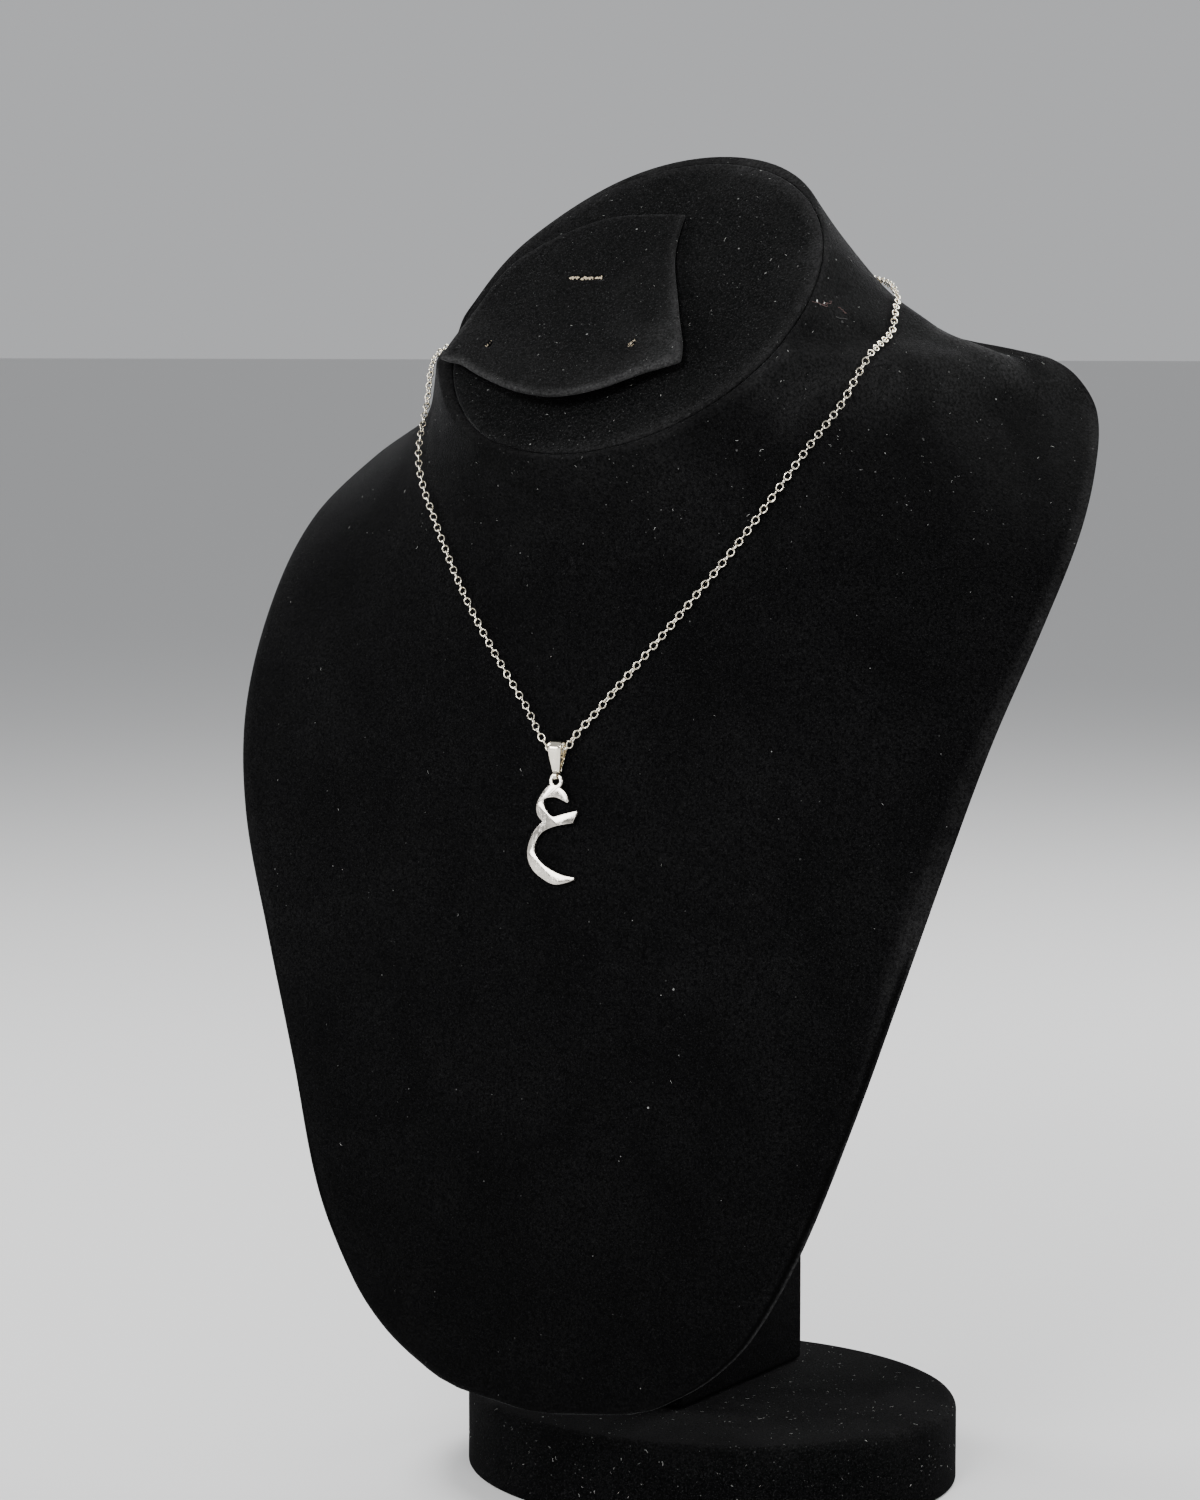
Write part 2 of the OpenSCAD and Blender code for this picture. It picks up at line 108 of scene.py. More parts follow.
# Route of the chain, right half, as in the source: points over the skin, then round to the nape
ROUTE = [
    [9.5, 194.3], [12.7, 198], [20, 206.5], [27, 215], [33.5, 223.5], [39.5, 232], [44.6, 240],
    [47.1, 244], [49.4, 248], [51.1, 251.4], [52.5, 254.8], [54.1, 259], [56, 264.6],
    [57.6, 270.3], [58.6, 274], [58.9, 275.6], [58.6, 277], [57, 280.2], [55.5, 283.7],
]
NAPE_ROUTE = [
    [81, 285.9], [89, 287.9], [98, 289.5], [107, 290.9], [118, 292.2], [129, 293.3], [140, 294.3],
    [150, 295], [160, 295.5], [170, 295.8],
]


def around(steps):
    """Angles of equal steps round a circle."""
    return np.linspace(0, 2 * np.pi, steps, endpoint=False)


def unit(v):
    """Vectors of length 1."""
    return v / np.linalg.norm(v, axis=-1, keepdims=True)


def oval(a, b, turn):
    """Points of a flat oval with half sizes a and b."""
    return np.stack([a * np.cos(turn), b * np.sin(turn)], -1)


def raised(flat, height):
    """Flat points with a height, one for all or one for each."""
    return np.column_stack([flat, np.broadcast_to(height, len(flat))])


def curve(a, b, leave, reach, t):
    """A smooth curve from a to b, with its direction at each end, at the share t."""
    return (a * (1 + 2 * t) * (1 - t) ** 2 + leave * t * (1 - t) ** 2
            + b * t * t * (3 - 2 * t) + reach * t * t * (t - 1))


def ramp(value, start, end):
    """0 up to the start and 1 from the end on, in a straight line between them."""
    return np.clip((value - start) / (end - start), 0, 1)


# --- The bust's skin -----------------------------------------------------------------------------

def column(c, share):
    """Value of one column of the sections at a height share, on a smooth curve through them."""
    up, value = SECTIONS[:, UP], SECTIONS[:, c]
    slope = np.gradient(value, up)
    slope[1:-1] = (value[2:] - value[:-2]) / (up[2:] - up[:-2])
    i = np.clip(np.searchsorted(up, share, side="right") - 1, 0, len(up) - 2)
    span = up[i + 1] - up[i]
    return curve(value[i], value[i + 1], slope[i] * span, slope[i + 1] * span,
                 (share - up[i]) / span)


def skin(turn, share):
    """Points of the skin at an angle round it in degrees (0 front, 180 back) and a height share."""
    turn, share = np.broadcast_arrays(np.asarray(turn, float), np.asarray(share, float))
    across = np.abs(np.sin(np.radians(turn)))
    front, side = column(FRONT, share) * CHEST_REACH, column(SIDE, share) * CHEST_REACH
    half = column(WIDE, share) * CHEST_W / 2
    bow = 1 - np.maximum(1 - across ** column(POWER, share), 0) ** (1 / column(ROUND, share))
    depth = RIM_T + column(BACK, share) * CHEST_REACH
    hollow = np.sqrt(np.maximum(1 - across ** column(SQUARE, share), 0))
    y = np.where(np.cos(np.radians(turn)) > 0, front + (side - front) * bow, side + depth * hollow)
    return np.stack([half * np.sin(np.radians(turn)), y, TIP_Z + CHEST_H * share], -1)


def outward(turn, share):
    """Directions straight out of the skin."""
    turn, share = np.asarray(turn), np.asarray(share)
    half_turn, half_share = 0.5, 0.002
    round_it = skin(turn + half_turn, share) - skin(turn - half_turn, share)
    up_it = skin(turn, share + half_share) - skin(turn, share - half_share)
    return unit(np.cross(round_it, up_it))


TILT = math.radians(OVAL_TILT)
TOP_MID = np.array([0, OVAL_Y, OVAL_Z])
TOP_UP = np.array([0, -math.sin(TILT), math.cos(TILT)])
TOP_ALONG = np.array([0, math.cos(TILT), math.sin(TILT)])


def above_top(points):
    """Distances from the plane of the neck's top, above it positive."""
    return (points - TOP_MID) @ TOP_UP


def on_neck_top(points):
    """Moves points of the board's own plane, in millimetres, onto the slope of the neck's top."""
    p = np.asarray(points, float)
    side = np.array([1.0, 0, 0])
    return TOP_MID + p[..., :1] * side + p[..., 1:2] * TOP_ALONG + p[..., 2:3] * TOP_UP


# --- Meshes --------------------------------------------------------------------------------------

def placed(name, data):
    """A new object of the scene that shows a mesh, lamp or camera."""
    obj = bpy.data.objects.new(name, data)
    bpy.context.scene.collection.objects.link(obj)
    return obj


@contextmanager
def edited(mesh):
    """The bmesh of a mesh, which is written back at the end."""
    bm = bmesh.new()
    bm.from_mesh(mesh)
    yield bm
    bm.to_mesh(mesh)
    bm.free()


def piece(name, points, faces, material, smooth=True):
    """A mesh object at the origin from points in millimetres."""
    mesh = bpy.data.meshes.new(name)
    mesh.from_pydata([tuple(p) for p in np.asarray(points) * MM], [], faces)
    mesh.validate()
    mesh.materials.append(material)
    if smooth:
        mesh.shade_smooth()
    return placed(name, mesh)


def grid_faces(rows, columns, start=0):
    """Quads between closed rings of equal length that follow each other."""
    return [
        (start + r * columns + c, start + r * columns + (c + 1) % columns,
         start + (r + 1) * columns + (c + 1) % columns, start + (r + 1) * columns + c)
        for r in range(rows - 1) for c in range(columns)
    ]


def closed_rings(rings):
    """Points and faces of rings joined into one closed form, with a pole at each end."""
    rings = np.asarray(rings, float)
    rows, columns = rings.shape[:2]
    faces = grid_faces(rows, columns)
    points = np.vstack([rings.reshape(-1, 3), rings[0].mean(0), rings[-1].mean(0)])
    low, high, top = rows * columns, rows * columns + 1, (rows - 1) * columns
    faces += [(low, (c + 1) % columns, c) for c in range(columns)]
    faces += [(high, top + c, top + (c + 1) % columns) for c in range(columns)]
    return points, faces


def spline(points, corners, steps, closed=True):
    """Points of a smooth curve through points, straight-sided at corners."""
    p = np.asarray(points, float)
    n = len(p)
    out = []
    for i in range(n if closed else n - 1):
        a, b = p[i], p[(i + 1) % n]
        before = p[(i - 1) % n] if closed else p[max(i - 1, 0)]
        after = p[(i + 2) % n] if closed else p[min(i + 2, n - 1)]
        leave = b - a if corners[i] else (b - before) / 2
        reach = b - a if corners[(i + 1) % n] else (after - a) / 2
        out += [curve(a, b, leave, reach, t) for t in np.arange(steps) / steps]
    if not closed:
        out.append(p[-1])
    return np.array(out)


def loop_normals(loop):
    """Directions in the plane that point to the left of each point of a closed loop."""
    along = unit(np.roll(loop, -1, 0) - np.roll(loop, 1, 0))
    return np.stack([-along[:, 1], along[:, 0]], 1)


def loop_distance(points, loop):
    """Distances from points to the nearest side of a closed loop."""
    a, b = loop, np.roll(loop, -1, 0)
    ab = b - a
    ap = points[:, None, :] - a[None]
    t = np.clip((ap * ab).sum(-1) / (ab * ab).sum(-1), 0, 1)
    return np.linalg.norm(ap - t[..., None] * ab, axis=-1).min(1)


def inside(points, loop):
    """Whether each point lies inside a closed loop."""
    x, y = points[:, None, 0], points[:, None, 1]
    a, b = loop[None], np.roll(loop, -1, 0)[None]
    crosses = (a[..., 1] > y) != (b[..., 1] > y)
    rise = np.where(b[..., 1] == a[..., 1], 1, b[..., 1] - a[..., 1])
    at = a[..., 0] + (y - a[..., 1]) * (b[..., 0] - a[..., 0]) / rise
    return (crosses & (x < at)).sum(1) % 2 == 1


def in_plate(points, loops, near=0.0):
    """Whether points lie inside the outline and out of the holes, or nearly on one of them."""
    good = inside(points, loops[0]) | (loop_distance(points, loops[0]) < near)
    for hole in loops[1:]:
        good &= ~inside(points, hole) | (loop_distance(points, hole) < near)
    return good


def flat_plate(loops, edge, spacing):
    """Points and triangles of a flat plate, with rows along its loops and a grid between them."""
    probe, row_share, loose, near = 0.02, 0.866, 0.06, 1e-6
    cloud, sides = [], []
    for k, loop in enumerate(loops):
        left = loop_normals(loop)
        left_is_inside = inside((loop + left * probe)[:1], loop)[0]
        into = left if left_is_inside == (k == 0) else -left
        sides.append((sum(len(c) for c in cloud), len(loop)))
        cloud.append(loop)
        for share in (0.12, 0.35, 0.65, 1.0):
            ring = loop + into * edge * share
            keep = np.abs(loop_distance(ring, loop) - edge * share) < edge * loose
            cloud.append(ring[keep])
    low, high = loops[0].min(0), loops[0].max(0)
    xs = np.arange(low[0], high[0], spacing)
    ys = np.arange(low[1], high[1], spacing * row_share)
    grid = np.array([(x + spacing / 2 * (j % 2), y) for j, y in enumerate(ys) for x in xs])
    nearest = np.min([loop_distance(grid, loop) for loop in loops], 0)
    grid = grid[(nearest > edge + spacing * 0.4) & inside(grid, loops[0])]
    flat = np.vstack(cloud + [grid])
    keep = in_plate(flat, loops, near)
    keep[[s + i for s, n in sides for i in range(n)]] = True
    new_index = np.cumsum(keep) - 1
    rims = [[int(new_index[s + i]) for i in range(n)] for s, n in sides]
    edges = [(rim[i], rim[(i + 1) % len(rim)]) for rim in rims for i in range(len(rim))]
    verts, _, triangles, *_ = delaunay_2d_cdt(
        [Vector(p) for p in flat[keep]], edges, [], 0, SAME_POINT)
    flat = np.array([tuple(v) for v in verts])
    good = in_plate(np.array([flat[list(t)].mean(0) for t in triangles]), loops)
    return flat, [t for t, ok in zip(triangles, good) if ok]


def slab(loops, thickness, edge, spacing):
    """A flat plate with soft edges: the first loop is its outline, the others are its holes."""
    flat, triangles = flat_plate(loops, edge, spacing)
    reach = np.minimum(np.min([loop_distance(flat, loop) for loop in loops], 0), edge) / edge
    height = thickness / 2 - edge + edge * np.sqrt(np.maximum(1 - (1 - reach) ** 2, 0))
    count = len(flat)
    points = np.vstack([raised(flat, height), raised(flat, -height)])
    faces, used = [], {}
    for a, b, c in triangles:
        (ax, ay), (bx, by), (cx, cy) = flat[a], flat[b], flat[c]
        if (bx - ax) * (cy - ay) - (by - ay) * (cx - ax) < 0:
            b, c = c, b
        faces += [(a, b, c), (count + a, count + c, count + b)]
        used.update(dict.fromkeys(((a, b), (b, c), (c, a))))
    # The rim joins the two sides along the edges that only one triangle has
    faces += [(b, a, count + a, count + b) for a, b in used if (b, a) not in used]
    return points, faces


def tidy_mesh(obj):
    """Drops loose points, merges doubles and turns faces outwards."""
    with edited(obj.data) as bm:
        bmesh.ops.remove_doubles(bm, verts=bm.verts, dist=SAME_POINT)
        bmesh.ops.delete(bm, geom=[v for v in bm.verts if not v.link_faces], context="VERTS")
        bmesh.ops.recalc_face_normals(bm, faces=bm.faces)


def baked(obj):
    """Turns an object's modifiers into a plain mesh, and removes them."""
    graph = bpy.context.evaluated_depsgraph_get()
    mesh = bpy.data.meshes.new_from_object(obj.evaluated_get(graph), depsgraph=graph)
    obj.modifiers.clear()
    old = obj.data
    obj.data = mesh
    mesh.name = obj.name
    bpy.data.meshes.remove(old)
    return obj


def joined(main, others):
    """Joins other meshes into the first, with their materials."""
    with edited(main.data) as bm:
        for other in others:
            slots = []
            for material in other.data.materials:
                if material.name not in main.data.materials:
                    main.data.materials.append(material)
                slots.append(main.data.materials.find(material.name))
            before = len(bm.faces)
            bm.from_mesh(other.data)
            bm.faces.ensure_lookup_table()
            for face in bm.faces[before:]:
                face.material_index = slots[face.material_index]
            bpy.data.objects.remove(other)
    return main


def softened_copy(solid, name, width, segments, material, angle=30):
    """A copy of a CAD solid with its flat faces joined and its sharp edges rounded."""
    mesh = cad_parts[solid].data.copy()
    with edited(mesh) as bm:
        bmesh.ops.remove_doubles(bm, verts=bm.verts, dist=SAME_POINT)
        bmesh.ops.dissolve_limit(bm, angle_limit=math.radians(1), verts=bm.verts, edges=bm.edges)
    mesh.materials.clear()
    mesh.materials.append(material)
    mesh.shade_smooth()
    obj = placed(name, mesh)
    bevel = obj.modifiers.new("Soft edge", "BEVEL")
    bevel.width = width * MM
    bevel.segments = segments
    bevel.limit_method = "ANGLE"
    bevel.angle_limit = math.radians(angle)
    bevel.harden_normals = True
    return baked(obj)


# --- Nodes ---------------------------------------------------------------------------------------

def group(name, inputs, outputs):
    """A shader node group: its tree, its input sockets and the node of its results."""
    tree = bpy.data.node_groups.new(name, "ShaderNodeTree")
    for label, value in inputs.items():
        socket = tree.interface.new_socket(label, in_out="INPUT", socket_type="NodeSocketFloat")
        socket.default_value = value
    for label in outputs:
        tree.interface.new_socket(label, in_out="OUTPUT", socket_type="NodeSocketFloat")
    return tree, tree.nodes.new("NodeGroupInput").outputs, tree.nodes.new("NodeGroupOutput")


def fed(made, values):
    """Sets inputs of a node, by name or number, to values or to the sockets they come from."""
    for key, value in values.items():
        if isinstance(value, bpy.types.NodeSocket):
            made.id_data.links.new(value, made.inputs[key])
        else:
            made.inputs[key].default_value = value
    return made


def node(tree, kind, values=None, **settings):
    """Adds a node; settings are its properties, and values go to its inputs."""
    made = tree.nodes.new(kind)
    for key, value in settings.items():
        setattr(made, key, value)
    return fed(made, values or {})


def maths(tree, operation, a, b=0.0, c=0.0):
    return node(tree, "ShaderNodeMath", {0: a, 1: b, 2: c}, operation=operation).outputs[0]


def multiply(tree, a, b):
    return maths(tree, "MULTIPLY", a, b)


def spread(tree, value, low, high, to_low=0.0, to_high=1.0):
    """A value that goes from low to high, spread to another range and kept inside it."""
    links = {"Value": value, "From Min": low, "From Max": high, "To Min": to_low, "To Max": to_high}
    return node(tree, "ShaderNodeMapRange", links).outputs["Result"]


def object_place(tree, scale=(1, 1, 1)):
    """The place on the object in metres, stretched by a scale."""
    place = node(tree, "ShaderNodeTexCoord").outputs["Object"]
    return node(tree, "ShaderNodeMapping", {"Vector": place, "Scale": scale}).outputs["Vector"]


def noise(tree, place, scale, detail, roughness=0.5, distortion=0.0):
    return node(tree, "ShaderNodeTexNoise", {
        "Vector": place, "Scale": scale, "Detail": detail, "Roughness": roughness,
        "Distortion": distortion}).outputs[0]


def pile_group():
    """Short velvet pile: tufts, single bright fibre tips, and patches where it lies another way."""
    tree, given, result = group("velvet_pile", {"Tuft Scale": 1500.0, "Patch Scale": 38.0},
                                ["Height", "Tufts", "Patches", "Tips"])
    place = object_place(tree)
    tufts = noise(tree, place, given["Tuft Scale"], 4.0, 0.75)
    patches = noise(tree, place, given["Patch Scale"], 4.0, 0.6, 0.6)
    hairs = noise(tree, place, multiply(tree, given["Tuft Scale"], 2.1), 2.0, 0.6)
    patch = spread(tree, patches, 0.35, 0.68)
    fed(result, {"Height": maths(tree, "MULTIPLY_ADD", patch, 0.2, tufts),
                 "Tufts": spread(tree, tufts, 0.40, 0.68),
                 "Patches": patch,
                 "Tips": spread(tree, hairs, 0.56, 0.74)})
    return tree


def lint_group():
    """Pale specks of dust caught in the pile: many fine dim ones and a few larger."""
    tree, given, result = group("dust_specks", {"Scale": 950.0, "Amount": 0.1, "Size": 0.13},
                                ["Mask"])
    masks = []
    for finer, rarer, larger in ((1.0, 1.0, 1.0), (0.42, 0.35, 0.85)):
        scale, amount, widest = (multiply(tree, given[label], share) for label, share in (
            ("Scale", finer), ("Amount", rarer), ("Size", larger)))
        cells = node(tree, "ShaderNodeTexVoronoi", {"Vector": object_place(tree), "Scale": scale})
        pick = node(tree, "ShaderNodeSeparateColor", {"Color": cells.outputs["Color"]}).outputs
        chosen = maths(tree, "LESS_THAN", pick[0], amount)
        size = multiply(tree, maths(tree, "MULTIPLY_ADD", pick[1], 0.7, 0.3), widest)
        near = maths(tree, "LESS_THAN", cells.outputs["Distance"], size)
        bright = maths(tree, "POWER", pick[2], 2.2)
        masks.append(multiply(tree, multiply(tree, chosen, near), bright))
    fed(result, {"Mask": maths(tree, "MAXIMUM", *masks)})
    return tree


def scratch_group():
    """Fine hand-polishing scratches in two directions, and a faint uneven haze."""
    tree, given, result = group("polish_scratches", {"Scale": 900.0, "Unevenness": 3.0},
                                ["Height", "Haze"])
    lines = []
    for stretch, distortion in (((1.0, 0.6, 0.06), 0.3), ((0.08, 0.6, 1.0), 0.7)):
        marks = noise(tree, object_place(tree, stretch), given["Scale"], 5.0, 0.75, distortion)
        lines.append(spread(tree, marks, 0.42, 0.62))
    both = multiply(tree, *lines)
    cloud = noise(tree, object_place(tree), 320.0, 3.0)
    uneven = multiply(tree, cloud, given["Unevenness"])
    fed(result, {"Height": maths(tree, "ADD", both, uneven),
                 "Haze": maths(tree, "MULTIPLY_ADD", cloud, 0.7, multiply(tree, both, 0.3))})
    return tree


PILE, LINT, SCRATCHES = pile_group(), lint_group(), scratch_group()


def blended(tree, factor, *colours):
    """The first colour, mixed towards the second by the factor."""
    mix = node(tree, "ShaderNodeMix", {"Factor": factor}, data_type="RGBA")
    places = [i for i, socket in enumerate(mix.inputs) if socket.type == "RGBA"]
    for i, colour in zip(places, colours):
        fed(mix, {i: (*colour, 1) if isinstance(colour, tuple) else colour})
    return [socket for socket in mix.outputs if socket.type == "RGBA"][0]


def surface(name):
    """A new material with its tree and its shader."""
    material = bpy.data.materials.new(name)
    material.use_nodes = True
    return material, material.node_tree, material.node_tree.nodes["Principled BSDF"]


def bumps(tree, height, strength, depth):
    return node(tree, "ShaderNodeBump", {
        "Height": height, "Strength": strength, "Distance": depth}).outputs["Normal"]


# The velvet's painted highlight and painted shade colours, and the colour of pale dust
PAINTED_HIGHLIGHT, PAINTED_SHADE, DUST = (0.060, 0.060, 0.060), (0.0006, 0.0006, 0.0006), (0.19, 0.19, 0.185)
TIP_GAIN = 4.0


def velvet(name, dark, light, specks, sheen, hairs=0.8):
    """Black velvet: tufts with bright tips, dust, and painted highlight or painted shade stored on
    each piece.
    """
    material, tree, cloth = surface(name)
    # The black of the pile is a touch blue
    dark, light = (dark, dark, dark + 0.0001), (light, light, light + 0.0002)
    pile = node(tree, "ShaderNodeGroup", node_tree=PILE).outputs
    tufts, patches = pile["Tufts"], pile["Patches"]
    caught, painted_light = (node(tree, "ShaderNodeAttribute", attribute_name=label).outputs["Fac"]
                   for label in ("dust", "painted_light"))
    amount = multiply(tree, caught, specks)
    dust = node(tree, "ShaderNodeGroup", {"Amount": amount}, node_tree=LINT)
    worn = maths(tree, "MULTIPLY_ADD", patches, 0.6, 0.4)
    brushed = blended(tree, multiply(tree, tufts, worn), dark, light)
    tipped = blended(tree, multiply(tree, pile["Tips"], hairs), brushed,
                     tuple(TIP_GAIN * c for c in light))
    softer = maths(tree, "MULTIPLY_ADD", tufts, 0.5, 0.2)
    grain = multiply(tree, softer, maths(tree, "ADD", patches, 0.5))
    # Painted highlight where the stored painted light is above 0, and painted shade where it is
    # below
    painted_highlight_share = multiply(tree, grain, spread(tree, painted_light, 0.0, 1.0))
    painted_shade_share = spread(tree, painted_light, 0.0, -1.0, 0.0, 0.9)
    lit_and_shaded = blended(tree, painted_shade_share, blended(tree, painted_highlight_share, tipped, PAINTED_HIGHLIGHT), PAINTED_SHADE)
    fed(cloth, {"Base Color": blended(tree, dust.outputs["Mask"], lit_and_shaded, DUST),
                "Normal": bumps(tree, pile["Height"], 0.5, 0.0005),
                "Roughness": 0.95, "Specular IOR Level": 0.02, "Sheen Weight": sheen,
                "Sheen Roughness": 0.12, "Sheen Tint": (0.55, 0.555, 0.57, 1)})
    return material


def store_painted_light_and_dust(obj, painted_light, dust=1.0):
    """Stores a velvet piece's painted light, a painted highlight above 0 and painted shade below,
    and its dust.
    """
    for label, values in (("painted_light", painted_light), ("dust", dust)):
        layer = obj.data.attributes.new(label, "FLOAT", "POINT")
        values = np.broadcast_to(np.asarray(values, np.float32), len(obj.data.vertices))
        layer.data.foreach_set("value", np.ascontiguousarray(values))


def points_of(obj):
    """Vertices of a piece in millimetres."""
    flat = np.empty(len(obj.data.vertices) * 3, np.float32)
    obj.data.vertices.foreach_get("co", flat)
    return flat.reshape(-1, 3).astype(float) / MM


def stripe(points, line, width):
    """1 along a line of points, falling off smoothly over the width."""
    line = np.array(line, float)
    best = np.full(len(points), np.inf)
    for a, b in zip(line[:-1], line[1:]):
        t = np.clip((points - a) @ (b - a) / ((b - a) @ (b - a)), 0, 1)
        best = np.minimum(best, np.linalg.norm(points - a - t[:, None] * (b - a), axis=1))
    return np.exp(-(best / width) ** 2)


def polished(name, tint, hazy, low, high, scale, depth):
    """Polished silver-coloured steel with fine scratches.

    Haze darkens the tint by the share hazy, and spreads the roughness from low to high.
    """
    material, tree, metal = surface(name)
    marks = node(tree, "ShaderNodeGroup", {"Scale": scale}, node_tree=SCRATCHES).outputs
    haze = marks["Haze"]
    dull = tuple(hazy * c for c in tint)
    fed(metal, {"Base Color": blended(tree, spread(tree, haze, 0.38, 0.62), dull, tint),
                "Roughness": spread(tree, haze, 0.25, 0.75, low, high),
                "Normal": bumps(tree, marks["Height"], 0.35, depth), "Metallic": 1.0})
    return material


def plain(name, colour, roughness):
    material, _, shader = surface(name)
    fed(shader, {"Base Color": (*colour, 1), "Roughness": roughness})
    return material


# Name, brightness of the pile's depth and of its tufts, specks, sheen and bright hairs
# The brightness levels differ piece by piece as painted light and shade: board and flap lighter,
# base darker
bust_velvet = velvet("bust_velvet", 0.0010, 0.0064, 0.45, 0.182, 0.35)
# A darker copy of the bust velvet, painted shade for the hollows behind the shoulder folds
shaded_velvet = velvet("shaded_velvet", 0.0008, 0.0036, 0.45, 0.028, 0.35)
board_velvet = velvet("board_velvet", 0.0012, 0.0085, 0.65, 0.196)
flap_velvet = velvet("flap_velvet", 0.0014, 0.0090, 0.80, 0.14)
base_velvet = velvet("base_velvet", 0.0005, 0.0046, 0.11, 0.0)
letter_steel = polished("letter_steel", (0.96, 0.90, 0.81), 0.55, 0.08, 0.20, 1500.0, 0.00002)
edge_steel = polished("letter_edge_steel", (1.0, 0.95, 0.87), 0.9, 0.18, 0.30, 1500.0, 0.00001)
chain_steel = polished("chain_steel", (1.0, 0.93, 0.77), 0.85, 0.08, 0.20, 2500.0, 0.00001)
bail_steel = polished("bail_steel", (1.0, 0.93, 0.78), 0.85, 0.06, 0.15, 1800.0, 0.00003)
raw_card = plain("raw_card_fibre", (0.52, 0.44, 0.32), 0.95)
thread = plain("lint_thread", (0.50, 0.50, 0.48), 0.85)
red_thread = plain("reddish_thread", (0.11, 0.06, 0.055), 0.9)
grey_thread = plain("grey_thread", (0.07, 0.07, 0.068), 0.9)


def share_of(z):
    return (np.asarray(z, float) - TIP_Z) / CHEST_H


def on_skin(turn, z, off):
    """Points that stand off the skin, at an angle round it and a height in millimetres."""
    share = share_of(z)
    return skin(turn, share) + np.asarray(off)[..., None] * outward(turn, share)


# --- Velvet forms --------------------------------------------------------------------------------

def top_share(turn):
    """Height share at which the skin, at each angle, meets the top edge of the neck."""
    low, high = np.full(len(turn), 0.70), np.full(len(turn), 1.0)
    halvings = 40
    for _ in range(halvings):
        middle = (low + high) / 2
        over = above_top(skin(turn, middle)) > -LIP
        low, high = np.where(over, low, middle), np.where(over, middle, high)
    return low


# The right shoulder's fold and the hollow behind it, from the neck outwards
SHOULDER_FOLD = [[61, -1, 281], [66, 2, 279], [71, 3, 277.2], [76, 3, 275.2], [80, 4, 273.2]]
SHOULDER_HOLLOW = [[57, 9, 283], [63, 11, 280.5], [69, 12.5, 278.5], [74, 13, 277]]

# Stretch creases by the throat: across, height, lean, length and how far they stand out
CREASES = (
    (-44, 262, 0.5, 9, 0.35), (-47, 257, 0.75, 11, 0.30), (-39, 259, 0.35, 8, 0.25),
    (47, 268, -0.6, 10, 0.25), (-52, 248, 0.9, 9, 0.18))


def on_the_right(points):
    """Points with those of the left half mirrored to the right."""
    return points * np.where(points[..., :1] < 0, [-1, 1, 1], 1)


def relief(turn, share):
    """How far the cloth stands off its form, by creases, folds, a seam and soft unevenness."""
    p = skin(turn, share)
    x, z = p[..., 0], p[..., 2]
    uneven, wave_x, wave_z = 0.12, 11.0, 14.0
    lift = uneven * np.sin(x / wave_x + 1.3) * np.sin(z / wave_z)
    front = np.cos(np.radians(turn)) > -0.2
    crease_width = 1.5
    for at_x, at_z, lean, length, height in CREASES:
        along = (x - at_x) * math.sin(lean) + (z - at_z) * math.cos(lean)
        beside = (x - at_x) * math.cos(lean) - (z - at_z) * math.sin(lean)
        shape = np.exp(-(along / length) ** 2 - (beside / crease_width) ** 2)
        lift = lift + front * height * shape
    # The cloth is drawn tight from the neck over each shoulder, with a hollow behind that fold
    flat = on_the_right(p).reshape(-1, 3)
    fold = stripe(flat, SHOULDER_FOLD, 3.4).reshape(lift.shape)
    hollow = stripe(flat, SHOULDER_HOLLOW, 6.0).reshape(lift.shape)
    # The wrapped cloth meets the back's cover in a seam just behind the widest line
    seam_turn, seam_width = 86.2, 1.3
    seam = np.exp(-((np.abs(turn - 180) - seam_turn) / seam_width) ** 2) * ramp(share, 0.62, 0.47)
    return lift + 1.1 * fold - 0.6 * hollow - 0.55 * seam


def torso_turns():
    """Angles round the torso in degrees, closer together at its widest line."""
    front_steps, back_steps, crowding = 46, 26, 1.6
    front = 90 - 90 * (np.arange(front_steps + 1) / front_steps) ** crowding
    back = 90 + 90 * (np.arange(1, back_steps + 1) / back_steps) ** crowding
    right = np.concatenate([front[::-1], back])
    return np.concatenate([right, 360 - right[-2:0:-1]])


def torso_form():
    turn = torso_turns()
    top = top_share(turn)
    # Rows are level up to the steady share, and then lean into the slope of the neck's top
    steady, edge_run = 0.60, 0.9
    low = np.concatenate([[0, 0.001, 0.003], np.linspace(0.006, steady, 118)])
    shares = [np.full(len(turn), u) for u in low]
    shares += [steady + (top - edge_run / CHEST_H - steady) * t for t in np.linspace(0, 1, 112)[1:]]
    rings = []
    for share in shares:
        rings.append(skin(turn, share) + relief(turn, share)[:, None] * outward(turn, share))
    # The skin rolls over the lip and runs down into the pocket that holds the board
    corner = skin(turn, top)
    flat = np.stack([corner[:, 0], (corner - TOP_MID) @ TOP_ALONG], 1)
    pocket_a, pocket_b = OVAL_A + SEAM, OVAL_B + SEAM
    round_board = np.arctan2(flat[:, 1] / pocket_b, flat[:, 0] / pocket_a)
    pocket = oval(pocket_a, pocket_b, round_board)
    gap = np.linalg.norm(flat - pocket, axis=1)
    reach = np.minimum(edge_run, gap * 0.45)[:, None] / np.maximum(gap, 1e-6)[:, None]
    into = flat + (pocket - flat) * reach
    inner = on_neck_top(raised(into, -LIP))
    outer = rings[-1]
    for t in (0.25, 0.5, 0.75, 1.0):
        rings.append((1 - t) ** 2 * outer + 2 * t * (1 - t) * corner + t * t * inner)
    for depth, share in ((LIP, 0.8), (LIP + 0.35, 1.0), (OVAL_T + GAP, 1.0)):
        rings.append(on_neck_top(raised(into + (pocket - into) * share, -depth)))
    points, faces = closed_rings(rings)
    torso = piece("torso_velvet", points, [f[::-1] for f in faces], bust_velvet)
    tidy_mesh(torso)
    torso.data.shade_smooth()
    paint_torso_light_and_dust(torso)
    return joined(torso, thread_tangle())


